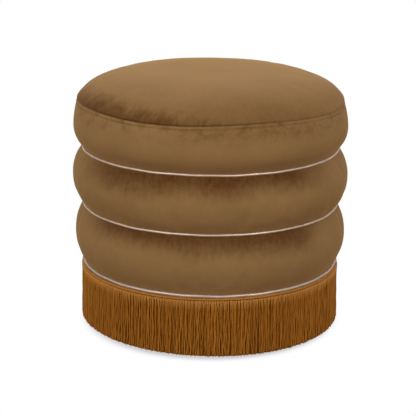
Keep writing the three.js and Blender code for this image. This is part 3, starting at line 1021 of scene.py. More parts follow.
# %% [markdown]
# A piping is a closed tube with a flat flange that runs in between the covers to the hoop. At the back its
# ends overlap, so the tube is a little thicker there, with a step where the upper end is cut. The lowest
# one is thicker, sits deeper in its valley and sags a little on two opposite sides.

# %% Make the pipings
FLANGE_HALF = 0.35
LAP_OFFSETS = (1.0, 2.0, 3.2, 4.4, 5.4, 6.0, 7.2, 9.0)
LAP_HALF, LAP_SWELL, LAP_STEP = 4.6, 0.14, 1.2
CORD_STEPS = 17
CORD_DROP = 0.6
SUNK = 1.4
SAG_AT, SAG_SHARE = math.radians(305), 0.3


def piping(name, node, level, diameter, sunk):
    cord = diameter / 2
    columns = cover_columns(400, LAP_OFFSETS)
    around = np.linspace(-1, 1, CORD_STEPS) * (math.pi - 0.2)
    centre = VALLEY_RADIUS - sunk + cord
    past_lap = np.maximum(from_back(columns) - LAP_HALF, 0)
    overlap = 1 + LAP_SWELL * np.clip(1 - past_lap / LAP_STEP, 0, 1)
    uneven = 1 + 0.025 * wave_height(waves_round(14, 60, 8), columns)
    drift = 0.18 * wave_height(waves_round(60, 300, 5), columns) - CORD_DROP
    drift -= SAG_SHARE * (sunk - SUNK) * (1 + np.cos(2 * (columns - SAG_AT)))
    tube = cord * overlap * uneven
    cord_outline = np.stack([centre + cord * np.cos(around), level + cord * np.sin(around)], axis=1)
    low_edge, high_edge = [[[LINING_RADIUS, level + side * FLANGE_HALF]] for side in (-1, 1)]
    profile = np.concatenate([low_edge, cord_outline, high_edge])
    rows = turned_points(profile, columns)
    radius = centre + tube * np.cos(around)[:, None]
    height = level + drift + tube * np.sin(around)[:, None]
    rows[1:-1] = np.stack([radius * np.cos(columns), radius * np.sin(columns), height], axis=2)
    faces = grid_faces(len(rows), len(columns))
    make_piece(name, rows, faces, piping_coat, grid_uv(profile, columns), [node])


piping("lower_metallic_piping", "lower_piping", LEVELS["lower"], diameter=5.8, sunk=2.5)
piping("middle_metallic_piping", "middle_piping", LEVELS["middle"], diameter=4.3, sunk=SUNK)
piping("upper_metallic_piping", "upper_piping", LEVELS["upper"], diameter=4.3, sunk=SUNK)

# %% [markdown]
# ## The line of stitches
#
# A sewing machine runs once round the band just below the seam and holds the folded edges down. Its thread
# is a dull brown polyester, a shade darker than the velvet. Its twist shows as fine slanting ridges, which
# a wave across the map gives.

# %% Thread material
sewing_thread = new_material("Polyester sewing thread, matt twisted")
thread_place = add_node(sewing_thread, "UVMap", uv_map="metres")
thread_turns = add_node(sewing_thread, "TexWave", {
    "Vector": thread_place, "Scale": 380.0, "Distortion": 0.5,
}, bands_direction="DIAGONAL")
thread_colour = add_node(sewing_thread, "Mix", {
    0: thread_turns.outputs["Fac"], 6: paint("#6B4A24"), 7: paint("#8C683C"),
}, data_type="RGBA")
thread_relief = add_node(sewing_thread, "Bump", {
    "Height": thread_turns.outputs["Fac"], "Strength": 0.5, "Distance": 0.1 * MM,
})
dress(sewing_thread, {
    "Base Color": thread_colour.outputs[2], "Roughness": 0.7, "Specular IOR Level": 0.2,
    "Normal": thread_relief,
})
print("thread:", sewing_thread.name)

# %% [markdown]
# Each stitch dips into the cloth at both ends. The stitches could be marks in the velvet, but as small
# threads of their own they catch the light and stay crisp close up.

# %% Make the stitches
STITCH_LENGTH, STITCH_PITCH, THREAD = 4.6, 7.2, 0.4
STITCH_STEPS, THREAD_SIDES = 6, 6
stitch_count = int(FULL_TURN * SEAM_RADIUS / STITCH_PITCH)
stitch_radius, stitch_level = evened(dense_band, np.array([band_length - STITCH_DROP]))[0]
stitch_points, stitch_faces, stitch_uv = [], [], []
for k in range(stitch_count):
    middle_angle = BACK + FULL_TURN * (k + 0.5) / stitch_count + dice.normal(0, 0.0006)
    slant = dice.normal(0, 0.12)
    base = len(stitch_points)
    for share in np.linspace(-1, 1, STITCH_STEPS + 1):
        angle = middle_angle + share * STITCH_LENGTH / 2 / stitch_radius
        middle_radius = stitch_radius - 0.15 - 0.55 * abs(share) ** 3
        middle_height = stitch_level + seam_level(angle, STITCH_DROP) + slant * share
        thick = THREAD * (1 - 0.35 * abs(share) ** 4)
        for j in range(THREAD_SIDES):
            turn = FULL_TURN * j / THREAD_SIDES
            radius = middle_radius + thick * math.cos(turn)
            height = middle_height + thick * math.sin(turn)
            stitch_points.append((radius * math.cos(angle) - OFF_CENTRE, radius * math.sin(angle), height))
    for i in range(STITCH_STEPS):
        for j in range(THREAD_SIDES):
            a = base + i * THREAD_SIDES + j
            b = base + i * THREAD_SIDES + (j + 1) % THREAD_SIDES
            stitch_faces.append((a, a + THREAD_SIDES, b + THREAD_SIDES, b))
            left, right = (share * STITCH_LENGTH / STITCH_STEPS * MM for share in (i, i + 1))
            low, high = j * 0.5 * MM, (j + 1) * 0.5 * MM
            stitch_uv += [(left, low), (right, low), (right, high), (left, high)]
make_piece("seam_topstitching", stitch_points, stitch_faces, sewing_thread, stitch_uv)
print("stitches:", stitch_count)

# %% [markdown]
# ## The plinth cover
#
# Behind the fringe the plinth is covered with a plain brown cotton. It is stretched round the hardboard
# skirt, turned under the base board in small pleats and stapled there. The weave is made from two sets of
# waves that cross, one for the warp and one for the weft.

# %% Cotton material
cotton = new_material("Plain woven cotton lining")
cotton_place = add_node(cotton, "UVMap", uv_map="metres")
# The threads are 0.8 mm apart, so that the weave shows in a close view.
warp = add_node(cotton, "TexWave", {
    "Vector": cotton_place, "Scale": 200.0, "Distortion": 0.4,
}, bands_direction="X")
weft = add_node(cotton, "TexWave", {
    "Vector": cotton_place, "Scale": 200.0, "Distortion": 0.4,
}, bands_direction="Y")
weave = add_node(cotton, "Math", {0: warp.outputs["Fac"], 1: weft.outputs["Fac"]}, operation="MULTIPLY")
slubs = add_node(cotton, "TexNoise", {"Vector": cotton_place, "Scale": 120.0, "Detail": 3.0})
cotton_mix = add_node(cotton, "Math", {0: weave, 1: slubs}, operation="MULTIPLY")
cotton_colour = add_node(cotton, "Mix", {
    0: cotton_mix, 6: paint("#4A331B"), 7: paint("#7A5A36"),
}, data_type="RGBA")
cotton_relief = add_node(cotton, "Bump", {"Height": weave, "Strength": 0.4, "Distance": 0.2 * MM})
dress(cotton, {
    "Base Color": cotton_colour.outputs[2], "Roughness": 0.95, "Specular IOR Level": 0.2,
    "Sheen Weight": 0.1, "Normal": cotton_relief,
})
print("cloth of the plinth:", cotton.name)

# %% [markdown]
# The cover's outline runs from its turned edge under the board, round the corner and up the wall. The
# pleats are waves round the body that only show where the cloth is turned inwards.

# %% Make the plinth cover
UNDERSIDE = 23.3
TURNED_RADIUS = 190.6
CORNER = 3
PLEAT_DEPTH = 0.5
bend = np.linspace(0, QUARTER_TURN, 5)[1:]
wall = [[VALLEY_RADIUS, z] for z in np.linspace(LEVELS["lower"] - EDGE_GAP, UNDERSIDE + CORNER, 10)]
corner = [
    [VALLEY_RADIUS - CORNER + CORNER * math.cos(a), UNDERSIDE + CORNER - CORNER * math.sin(a)] for a in bend
]
under = [[r, UNDERSIDE] for r in np.linspace(VALLEY_RADIUS - 5, TURNED_RADIUS, 8)]
plinth_outline = np.array([*wall, *corner, *under])[::-1]
plinth_columns = cover_columns(360)
plinth_rows = turned_points(plinth_outline, plinth_columns)
turned_share = np.clip((VALLEY_RADIUS - 4 - plinth_outline[:, 0]) / 12, 0, 1)[:, None]
pleats = np.abs(wave_height(waves_round(16, 40, 9), plinth_columns))
plinth_rows[:, :, 2] -= PLEAT_DEPTH * pleats * turned_share
plinth_faces = grid_faces(len(plinth_outline), len(plinth_columns))
plinth_uv = grid_uv(plinth_outline, plinth_columns, girth_radius=VALLEY_RADIUS)
plinth_cover = make_piece(
    "plinth_cotton", plinth_rows, plinth_faces, cotton, plinth_uv, ["plinth_cover"],
)

# %% [markdown]
# ## Fringe yarn
#
# The fringe is of twisted viscose yarn in an orange brown. Viscose is smooth, so a yarn has a silky line
# of light along it, and its two plies show as slanting ridges. Two twisted tubes for each of some thousands
# of yarns would be heavy, so the plies are a wave across the map, with relief. Yarns differ a little in
# shade from one to the next.

# %% Yarn material
yarn = new_material("Twisted viscose yarn")
yarn_place = add_node(yarn, "UVMap", uv_map="metres")
yarn_parts = add_node(yarn, "SeparateXYZ", {0: yarn_place})
yarn_number = add_node(yarn, "Math", {0: yarn_parts.outputs["X"]}, operation="FLOOR")
yarn_random = add_node(yarn, "TexWhiteNoise", {"W": yarn_number}, noise_dimensions="1D")
# Each yarn fills one whole unit across the map. Its two plies show as ridges 4 mm apart.
ridge_start = add_node(yarn, "Math", {
    0: yarn_random.outputs["Value"], 1: 0.02, 2: yarn_parts.outputs["Y"],
}, operation="MULTIPLY_ADD")
ridge_place = add_node(yarn, "CombineXYZ", {"X": yarn_parts.outputs["X"], "Y": ridge_start})
ply_turns = add_node(yarn, "Mapping", {"Vector": ridge_place, "Scale": (1.2566, 157.0, 1)})
plies = add_node(yarn, "TexWave", {
    "Vector": ply_turns, "Scale": 1.0, "Distortion": 0.0,
}, bands_direction="DIAGONAL")
fibre_map = add_node(yarn, "Mapping", {"Vector": yarn_place, "Scale": (7.0, 90.0, 1)})
fibres = add_node(yarn, "TexNoise", {"Vector": fibre_map, "Scale": 1.0, "Detail": 3.0})
worn_share = add_node(yarn, "MapRange", {
    "Value": fibres, "From Min": 0.3, "From Max": 0.7, "To Min": -0.25, "To Max": 0.15,
})
lit_share = add_node(yarn, "Math", {
    0: yarn_random.outputs["Value"], 1: 0.4, 2: worn_share,
}, operation="MULTIPLY_ADD")
ply_share = add_node(yarn, "Math", {
    0: plies.outputs["Fac"], 1: 0.2, 2: lit_share,
}, operation="MULTIPLY_ADD")
print("yarn:", yarn.name)

# %% [markdown]
# Each yarn's top is painted paler, a painted highlight where the yarns bulge out below the heading and
# catch the light, and yarns that hang further in get painted shade, as the outer ones shade them. So the
# shade is tied to the length down a yarn and to its distance from the axis.

# %% Shade the yarn
# The reach is measured from the axis, less the flare.
yarn_within = add_node(yarn, "TexCoord")
yarn_flat = add_node(yarn, "VectorMath", {
    0: yarn_within.outputs["Object"], 1: (1, 1, 0),
}, operation="MULTIPLY")
yarn_radius = add_node(yarn, "VectorMath", {0: yarn_flat}, operation="LENGTH")
yarn_reach = add_node(yarn, "Math", {
    0: yarn_parts.outputs["Y"], 1: -0.019, 2: yarn_radius.outputs["Value"],
}, operation="MULTIPLY_ADD")
# Painted shade: yarns further in are darker, as the outer yarns shade them.
painted_depth_shading = add_node(yarn, "MapRange", {
    "Value": yarn_reach, "From Min": 0.2164, "From Max": 0.2194, "To Min": 0.0, "To Max": 0.6,
})
shade_share = add_node(yarn, "Math", {0: painted_depth_shading, 1: ply_share}, operation="ADD", use_clamp=True)
yarn_shade = add_node(yarn, "Mix", {
    0: shade_share, 6: paint("#522A04"), 7: paint("#AE6E26"),
}, data_type="RGBA")
# A painted highlight at the top of the outer yarns.
near_top = add_node(yarn, "MapRange", {
    "Value": yarn_parts.outputs["Y"], "From Min": 0.002, "From Max": 0.016, "To Min": 1.5, "To Max": 0.0,
})
painted_top_highlight = add_node(yarn, "Math", {0: near_top, 1: painted_depth_shading}, operation="MULTIPLY")
yarn_with_painted_highlight = add_node(yarn, "Mix", {
    0: painted_top_highlight, 6: yarn_shade.outputs[2], 7: paint("#C28542"),
}, data_type="RGBA")
yarn_relief = add_node(yarn, "Bump", {
    "Height": plies.outputs["Fac"], "Strength": 0.9, "Distance": 0.4 * MM,
})
dress(yarn, {
    "Base Color": yarn_with_painted_highlight.outputs[2],
    "Roughness": 0.6,
    "Specular IOR Level": 0.15,
    "Specular Tint": paint("#E0A050"),
    "Normal": yarn_relief,
})
print("yarn's relief:", round(yarn_relief.inputs["Distance"].default_value / MM, 2), "mm")

# %% [markdown]
# ## Hanging yarns
#
# Each yarn is its own tube, so that it can lean, cling to its neighbour and end at its own height. A tube
# follows a path of points, and its UV map gives each yarn a number of its own across and true lengths in
# metres along. One function makes the tubes of a whole layer and keeps those of the wanted quarter.

# %% Tubes along paths
YARN_SIDES = 6


def unit(vectors):
    return vectors / np.linalg.norm(vectors, axis=-1, keepdims=True)


def tubes(paths, thickness, sides, first_number, kept):
    paths, thickness = paths[kept], thickness[kept]
    rings = paths.shape[1]
    along = unit(np.gradient(paths, axis=1))
    side = unit(np.cross(along, unit(paths * (1, 1, 0))))
    front = np.cross(side, along)
    turns = FULL_TURN * np.arange(sides)[:, None] / sides
    ring = side[:, :, None] * np.cos(turns) + front[:, :, None] * np.sin(turns)
    points = paths[:, :, None] + ring * thickness[:, :, None, None]
    steps = np.linalg.norm(np.diff(paths, axis=1), axis=2) * MM
    lengths = np.concatenate([np.zeros((len(paths), 1)), np.cumsum(steps, axis=1)], axis=1)
    faces, uv = [], []
    for k, number in enumerate(first_number + np.nonzero(kept)[0]):
        start = k * rings * sides
        for i in range(rings - 1):
            low, high = lengths[k, i], lengths[k, i + 1]
            for j in range(sides):
                a, b = start + i * sides + j, start + i * sides + (j + 1) % sides
                faces.append((a, a + sides, b + sides, b))
                left, right = number + j / sides * 0.98, number + (j + 1) / sides * 0.98
                uv += [(left, low), (left, high), (right, high), (right, low)]
        faces.append(tuple(range(start + (rings - 1) * sides, start + rings * sides)))
        uv += [(number + 0.5, lengths[k, -1])] * sides
    return points.reshape(-1, 3), faces, uv


print("sides of a yarn:", YARN_SIDES)

# %% [markdown]
# The yarns hang from the heading side by side in three layers. They start evenly, then drift together into
# little clumps with dark gaps between, because twisted yarns cling to each other. A few stray across their
# neighbours, and the cut ends are ragged. The paths come from waves round the body, so neighbours move
# together as they do in a real fringe. The innermost layer hangs almost straight and closes the gaps.

# %% Lay out the layers of yarn
FLOOR_GAP = 6.3
FRINGE_RADIUS = 217.2
FLARE = 1.8
YARN_CLIMB = 3.5
YARN_SHARES = np.array([
    0, 0.012, 0.03, 0.06, 0.1, 0.16, 0.23, 0.31, 0.39, 0.47,
    0.55, 0.63, 0.71, 0.79, 0.87, 0.94, 0.985, 0.996, 1.0,
])
SHORTER_AT = math.radians(205)


def yarn_waves(shortest, longest, count):
    return waves_round(shortest, longest, count, YARN_CLIMB, VALLEY_RADIUS)


def hanging_layer(count, centre, thickness, phase, start_height, clinging, loops, stray_share, uneven):
    angles = FULL_TURN * (np.arange(count) + phase) / count + dice.normal(0, 0.12, count) / FRINGE_RADIUS
    around, down = angles[:, None], YARN_SHARES
    near, wide = yarn_waves(4, 9, 11), yarn_waves(10, 30, 7)

    ragged = 0.6 + 0.6 * wave_height(yarn_waves(4, 12, 6), angles) + dice.normal(0, 0.4, count)
    shorter_side = 2.4 * np.clip(np.cos(angles - SHORTER_AT), 0, 1)
    tips = FLOOR_GAP + uneven * np.clip(ragged, 0, 2.5) + shorter_side
    heights = start_height + (tips[:, None] - start_height) * down

    splayed = dice.normal(0, 0.9, count)[:, None] * np.clip((down - 0.75) / 0.25, 0, 1) ** 2
    lean = dice.normal(0, 0.5, count) * min(1, 1.2 * clinging)
    strays = dice.uniform(0, 1, count) < stray_share
    lean = np.where(strays, dice.normal(0, 2.4, count), lean)[:, None]
    bends = dice.uniform(1.2, 3.2, count)[:, None] * down + dice.uniform(0, 1, count)[:, None]
    grown = (1 - np.exp(-down / 0.05)) * (0.6 + 0.4 * down)
    together = 0.8 * wave_height(near, around, down) + 0.45 * wave_height(wide, around, down)
    sideways = clinging * (together + 0.75 * np.sin(FULL_TURN * bends)) * grown
    sideways += lean * down ** 1.8 + splayed * min(1, clinging)

    in_out = 0.2 * wave_height(yarn_waves(6, 26, 7), around, down) * grown
    in_out += dice.normal(0, 0.25, count)[:, None] * down ** 2
    own_phase = dice.uniform(0, 1, count)[:, None]
    in_out += 0.35 * clinging * np.cos(FULL_TURN * (bends + own_phase)) * grown
    in_out += np.where(strays, np.abs(dice.normal(0.5, 0.4, count)), 0)[:, None] * down ** 2
    drop = start_height - heights
    looped = loops * (np.clip(drop / 1.6, 0, 1) ** 0.5 - 0.75 * np.clip((drop - 3.5) / 9, 0, 1))
    radius = centre - loops * 0.25 + looped + in_out + FLARE * down

    turned = around + sideways / FRINGE_RADIUS
    paths = np.stack([radius * np.cos(turned), radius * np.sin(turned), heights], axis=2)
    taper = np.select([down < 0.99, down < 0.999], [1.0, 0.8], 0.4)
    return angles, paths, thickness * dice.normal(1, 0.07, count)[:, None] * taper


layers = [
    hanging_layer(900, 215.7, 1.15, 0.2, 99.5, clinging=0.15, loops=0.0, stray_share=0.0, uneven=0.35),
    hanging_layer(560, 216.9, 1.0, 0.55, 99.8, clinging=0.8, loops=0.6, stray_share=0.05, uneven=1.7),
    hanging_layer(540, 218.2, 0.98, 0.0, 100.3, clinging=1.0, loops=1.4, stray_share=0.08, uneven=1.7),
]
print("yarns:", sum(len(layer[0]) for layer in layers))

# %% [markdown]
# The heading is the woven edge that the yarns hang from. Its upper row is a cord wrapped with the same
# yarn, its wraps lying at a slight slant, and below a narrow groove the yarns come out over a second cord.

# %% Lay out the wrapped heading
def wrapped_row(count, low, high, reach, thickness):
    angles = FULL_TURN * np.arange(count) / count
    share = np.linspace(0, 1, 7)
    bulged = 215.6 + reach * np.sin(math.pi * np.clip(share, 0.04, 0.96)) ** 0.6
    turned = angles[:, None] + 1.1 * (share - 0.5) / FRINGE_RADIUS
    heights = high + (low - high) * share + 0.12 * dice.normal(0, 1, count)[:, None]
    radius = bulged + 0.05 * dice.normal(0, 1, count)[:, None]
    paths = np.stack([radius * np.cos(turned), radius * np.sin(turned), heights], axis=2)
    return angles, paths, np.full(heights.shape, thickness)


layers.append(wrapped_row(1040, low=100.9, high=104.9, reach=2.9, thickness=0.72))
print("wraps on the heading:", len(layers[-1][0]))

# %% [markdown]
# The fringe is sold by the length, and it is nailed on here in four lengths, as in the CAD model. Each
# length has a woven strip behind its wraps, and takes the yarns that start within its quarter.

# %% Make the four lengths of fringe
STRIP_OUTLINE = np.array([
    [215.2, 93.5], [216.6, 93.8], [217.6, 96.5], [217.2, 99.6], [216.0, 100.5], [217.0, 101.6],
    [217.6, 103.2], [217.0, 104.8], [215.2, 105.2],
])
STRIP_COLUMNS = 60


def woven_strip(start):
    columns = start + np.linspace(0, QUARTER_TURN, STRIP_COLUMNS)
    points = turned_points(STRIP_OUTLINE, columns).reshape(-1, 3)
    faces, uv = [], []
    for i in range(len(STRIP_OUTLINE) - 1):
        for j in range(STRIP_COLUMNS - 1):
            a = i * STRIP_COLUMNS + j
            faces.append((a, a + 1, a + STRIP_COLUMNS + 1, a + STRIP_COLUMNS))
            left, right = j * 20.5, j * 20.5 + 19.5
            uv += [(left, 0.03), (right, 0.03), (right, 0.034), (left, 0.034)]
    return points, faces, uv


for quarter, node in enumerate(("fringe_right", "fringe_back", "fringe_left", "fringe_front")):
    start = math.pi / 4 * (2 * quarter - 1)
    strip_points, faces, uv = woven_strip(start)
    points = [strip_points]
    offset = len(strip_points)
    number = 0
    for angles, paths, thick in layers:
        kept = (angles - start) % FULL_TURN < QUARTER_TURN
        new_points, new_faces, new_uv = tubes(paths, thick, YARN_SIDES, number, kept)
        points.append(new_points)
        faces += [tuple(offset + v for v in face) for face in new_faces]
        uv += new_uv
        offset += len(new_points)
        number += len(angles)
    make_piece(node + "_yarns", np.concatenate(points), faces, yarn, uv, [node])

# %% [markdown]
# ## The underside
#
# Nobody sees the underside in use, but a real tuffet is finished there too. A thin black felted cloth keeps
# dust out of the drum, staples hold the turned edge of the plinth cover, and four plastic glides carry the
# load, each with a countersunk screw. The cloth is pressed together from hot fibres in small dots, which
# give it its dull, even grain.

# %% Dust cloth material
dust_cloth = new_material("Black spun-bonded polypropylene cloth")
dust_place = add_node(dust_cloth, "TexCoord")
# The bonding dots are 1.6 mm apart.
dots = add_node(dust_cloth, "TexVoronoi", {
    "Vector": dust_place.outputs["Object"], "Scale": 620.0, "Randomness": 0.1,
})
webbing = add_node(dust_cloth, "TexNoise", {
    "Vector": dust_place.outputs["Object"], "Scale": 240.0, "Detail": 5.0, "Distortion": 1.5,
})
dust_share = add_node(dust_cloth, "Math", {0: dots.outputs["Distance"], 1: webbing}, operation="MULTIPLY")
dust_colour = add_node(dust_cloth, "Mix", {
    0: dust_share, 6: paint("#141415"), 7: paint("#3A3A3D"),
}, data_type="RGBA")
dust_relief = add_node(dust_cloth, "Bump", {"Height": dust_share, "Strength": 0.4, "Distance": 0.15 * MM})
dress(dust_cloth, {
    "Base Color": dust_colour.outputs[2], "Roughness": 0.85, "Sheen Weight": 0.2, "Normal": dust_relief,
})
print("dust cloth:", dust_cloth.name)

# %% [markdown]
# The glides are moulded of a hard-wearing plastic, finely rough from the mould and scuffed by floors. The
# screws and staples are steel with a thin coat of zinc, which is bright and a little cloudy.

# %% Glide plastic and zinc
glide_plastic = new_material("Polypropylene, injection moulded black")
glide_place = add_node(glide_plastic, "TexCoord")
spark = add_node(glide_plastic, "TexNoise", {
    "Vector": glide_place.outputs["Object"], "Scale": 1800.0, "Detail": 2.0,
})
scuffs = add_node(glide_plastic, "TexNoise", {
    "Vector": glide_place.outputs["Object"], "Scale": 90.0, "Detail": 4.0, "Distortion": 2.0,
})
glide_colour = add_node(glide_plastic, "Mix", {
    0: scuffs, 6: paint("#131314"), 7: paint("#2B2B2C"),
}, data_type="RGBA")
glide_rough = add_node(glide_plastic, "MapRange", {"Value": scuffs, "To Min": 0.35, "To Max": 0.6})
glide_relief = add_node(glide_plastic, "Bump", {"Height": spark, "Strength": 0.15, "Distance": 0.1 * MM})
dress(glide_plastic, {
    "Base Color": glide_colour.outputs[2], "Roughness": glide_rough, "IOR": 1.49, "Normal": glide_relief,
})

zinc = new_material("Zinc plated steel")
zinc_place = add_node(zinc, "TexCoord")
bloom = add_node(zinc, "TexNoise", {"Vector": zinc_place.outputs["Object"], "Scale": 500.0, "Detail": 3.0})
zinc_colour = add_node(zinc, "Mix", {0: bloom, 6: paint("#A9ACB1"), 7: paint("#C9CCD0")}, data_type="RGBA")
zinc_rough = add_node(zinc, "MapRange", {"Value": bloom, "To Min": 0.25, "To Max": 0.45})
dress(zinc, {"Base Color": zinc_colour.outputs[2], "Metallic": 1.0, "Roughness": zinc_rough})
print("glides:", glide_plastic.name, "/ screws and staples:", zinc.name)

# %% [markdown]
# The dust cloth is a disc that hangs through a little between its edge and the feet, which clamp it. Its
# edge is slightly puckered where it is stapled.

# %% Make the dust cover
DUST_RADIUS = 190.2
DUST_LEVEL = 24.35
FOOT_CIRCLE = 163.6
dust_rows, dust_columns = 26, 180
feet_at = [math.pi / 4 * (2 * k + 1) for k in range(4)]
dust_outline = np.stack([np.linspace(DUST_RADIUS, 6, dust_rows), np.full(dust_rows, DUST_LEVEL)], axis=1)
dust_angles = even_columns(dust_columns)
dust_points = turned_points(dust_outline, dust_angles)
from_edge = (DUST_RADIUS - dust_outline[:, 0])[:, None]
puckers = 0.35 * wave_height(waves_round(18, 60, 8), dust_angles)
sag = 1.5 * (1 - np.exp(-from_edge / 30))
sag = sag + puckers * np.exp(-from_edge / 22) * (1 - np.exp(-from_edge / 4))
for foot_angle in feet_at:
    foot = FOOT_CIRCLE * np.array([math.cos(foot_angle), math.sin(foot_angle)])
    reach = np.linalg.norm(dust_points[:, :, :2] - foot, axis=2)
    sag = np.clip(sag, -0.2, 2.2) * np.clip((reach - 21) / 25, 0, 1)
dust_points[:, :, 2] -= sag
dust_all = np.concatenate([dust_points.reshape(-1, 3), [[0, 0, dust_points[-1, 0, 2]]]])
dust_faces = grid_faces(dust_rows, dust_columns)
last_row = (dust_rows - 1) * dust_columns
for j in range(dust_columns):
    dust_faces.append((last_row + j, last_row + (j + 1) % dust_columns, len(dust_all) - 1))
dust_cover = make_piece("dust_cloth", dust_all, dust_faces, dust_cloth, None, ["dust_cover"])

# %% [markdown]
# The staples are flat wire, shot in along the turned edge by hand, so no two lie quite alike. Each is one
# square wire with two bends, drawn along six stations.

# %% Make the staples
STAPLE_COUNT, STAPLE_WIDTH, WIRE = 40, 10.0, 0.55
STAPLE_RADIUS = 198.5
STATIONS = [(-0.5, 1.6), (-0.5, 0.2), (-0.44, 0.0), (0.44, 0.0), (0.5, 0.2), (0.5, 1.6)]
CORNERS = [(-0.5, -0.5), (0.5, -0.5), (0.5, 0.5), (-0.5, 0.5)]
staple_points, staple_faces = [], []
for k in range(STAPLE_COUNT):
    staple_angle = FULL_TURN * (k + 0.5) / STAPLE_COUNT + dice.normal(0, 0.01)
    direction = staple_angle + dice.normal(0, 0.18)
    middle = STAPLE_RADIUS * np.array([math.cos(staple_angle), math.sin(staple_angle)])
    run = np.array([-math.sin(direction), math.cos(direction)])
    cross = np.array([run[1], -run[0]])
    base = len(staple_points)
    for share, lift in STATIONS:
        for side_shift, up in CORNERS:
            x, y = middle + run * (share * STAPLE_WIDTH) + cross * side_shift * 1.2
            staple_points.append((x, y, UNDERSIDE - 0.9 + lift + up * WIRE))
    for i in range(len(STATIONS) - 1):
        for j in range(4):
            a, b = base + 4 * i + j, base + 4 * i + (j + 1) % 4
            staple_faces.append((a, b, b + 4, a + 4))
    last = base + 4 * (len(STATIONS) - 1)
    staple_faces += [(base + 3, base + 2, base + 1, base), (last, last + 1, last + 2, last + 3)]
make_piece("plinth_staples", staple_points, staple_faces, zinc, None)
print("staples:", STAPLE_COUNT)

# %% [markdown]
# The glides are turned shapes with a rounded edge, a slightly coned side and a shallow dish in the sole
# where the screw head sits. The screw head has a cross recess, pressed by moving the head's face inwards
# where a driver's cross goes.

# %% Make the glides and their screws
GLIDE_OUTLINE = np.array([
    [5.0, 2.0], [6.0, 2.0], [6.4, 1.7], [6.5, 0.9], [6.8, 0.25], [7.6, 0.0], [15.6, 0.0], [16.6, 0.3],
    [17.1, 1.1], [17.6, 3.0], [18.3, 6.0], [19.2, 9.6], [19.8, 11.8], [20.0, 13.2], [20.0, 22.8],
    [19.8, 23.6], [19.2, 24.0], [4.0, 24.0],
])
HEAD_RINGS = np.array([0.001, 0.35, 0.7, 1.0, 1.3, 1.6, 1.9, 2.2, 2.5, 2.8, 3.4, 4.1, 4.4, 4.5])
HEAD_LEVEL = 2.0
SHANK_OUTLINE = np.array([[4.5, 2.35], [2.2, 4.8], [2.2, 33.0], [0.01, 37.0]])
ARM_HALF, ARM_REACH, CROSS_DEPTH = 0.62, 2.7, 1.5


def cross_depth(x, y):
    in_arm = np.minimum(np.abs(x), np.abs(y)) < ARM_HALF
    within = np.maximum(np.abs(x), np.abs(y))
    return np.where(in_arm, np.clip((ARM_REACH - within) / 0.8, 0, 1) * CROSS_DEPTH, 0.0)


glide_columns, screw_columns = even_columns(72), even_columns(64)
head_outline = np.stack([HEAD_RINGS, HEAD_LEVEL + np.where(HEAD_RINGS > 4.2, 0.12, 0.0)], axis=1)
head = turned_points(head_outline, screw_columns)
head[:, :, 2] += cross_depth(head[:, :, 0], head[:, :, 1])
screw_rows = np.concatenate([head, turned_points(SHANK_OUTLINE, screw_columns)])
screw_faces = [tuple(reversed(face)) for face in grid_faces(len(screw_rows), len(screw_columns))]
glide_faces = grid_faces(len(GLIDE_OUTLINE), len(glide_columns))
for number, foot_angle in enumerate(feet_at, start=1):
    shift = np.array([FOOT_CIRCLE * math.cos(foot_angle), FOOT_CIRCLE * math.sin(foot_angle), 0])
    spin = np.array(Matrix.Rotation(dice.uniform(0, math.pi), 3, "Z"))
    glide = turned_points(GLIDE_OUTLINE, glide_columns) + shift
    screw = screw_rows @ spin.T + shift
    foot, foot_screw = f"foot_{number}", f"foot_screw_{number}"
    make_piece(f"glide_{foot}", glide, glide_faces, glide_plastic, None, [foot])
    make_piece(f"glide_screw_{number}", screw, screw_faces, zinc, None, [foot_screw])

# %% [markdown]
# ## What lies inside
#
# The drum, boards, battens and screws keep their CAD shapes and get materials of their own. Plywood shows
# its plies at the edge and planed pine its long rings, and hardboard has only a fine, pressed felt of
# fibres. So one function makes all three, with its pattern squeezed along another axis for each.

# %% Wood and board materials
def wood(name, pale, dark, ring_scale, along, rough):
    material = new_material(name)
    place = add_node(material, "TexCoord")
    laid = add_node(material, "Mapping", {"Vector": place.outputs["Object"], "Scale": along})
    rings = add_node(material, "TexWave", {
        "Vector": laid, "Scale": ring_scale, "Distortion": 4.0, "Detail": 3.0, "Detail Scale": 1.4,
    }, bands_direction="X")
    pores = add_node(material, "TexNoise", {"Vector": laid, "Scale": ring_scale * 9, "Detail": 4.0})
    share = add_node(material, "Math", {0: rings.outputs["Fac"], 1: pores}, operation="MULTIPLY")
    colour = add_node(material, "Mix", {0: share, 6: paint(pale), 7: paint(dark)}, data_type="RGBA")
    relief = add_node(material, "Bump", {"Height": pores, "Strength": 0.2, "Distance": 0.2 * MM})
    return dress(material, {
        "Base Color": colour.outputs[2], "Roughness": rough, "Specular IOR Level": 0.3, "Normal": relief,
    })


birch_ply = wood("Birch plywood", "#D4B484", "#B28C5A", 30.0, (1.0, 0.12, 22.0), 0.65)
pine = wood("Planed pine", "#DDBB88", "#B98A52", 60.0, (1.0, 1.0, 0.06), 0.6)
hardboard = wood("Oil tempered hardboard", "#96714C", "#735233", 300.0, (1.0, 1.0, 1.0), 0.75)
print("woods:", [m.name for m in (birch_ply, pine, hardboard)])

# %% [markdown]
# The foam is full of small open cells, so it is pale, dull and pitted. The wadding over it is a loose mat
# of white fibres, which a noise with a strong twist looks like.

# %% Foam and wadding materials
foam = new_material("Polyurethane foam")
foam_place = add_node(foam, "TexCoord")
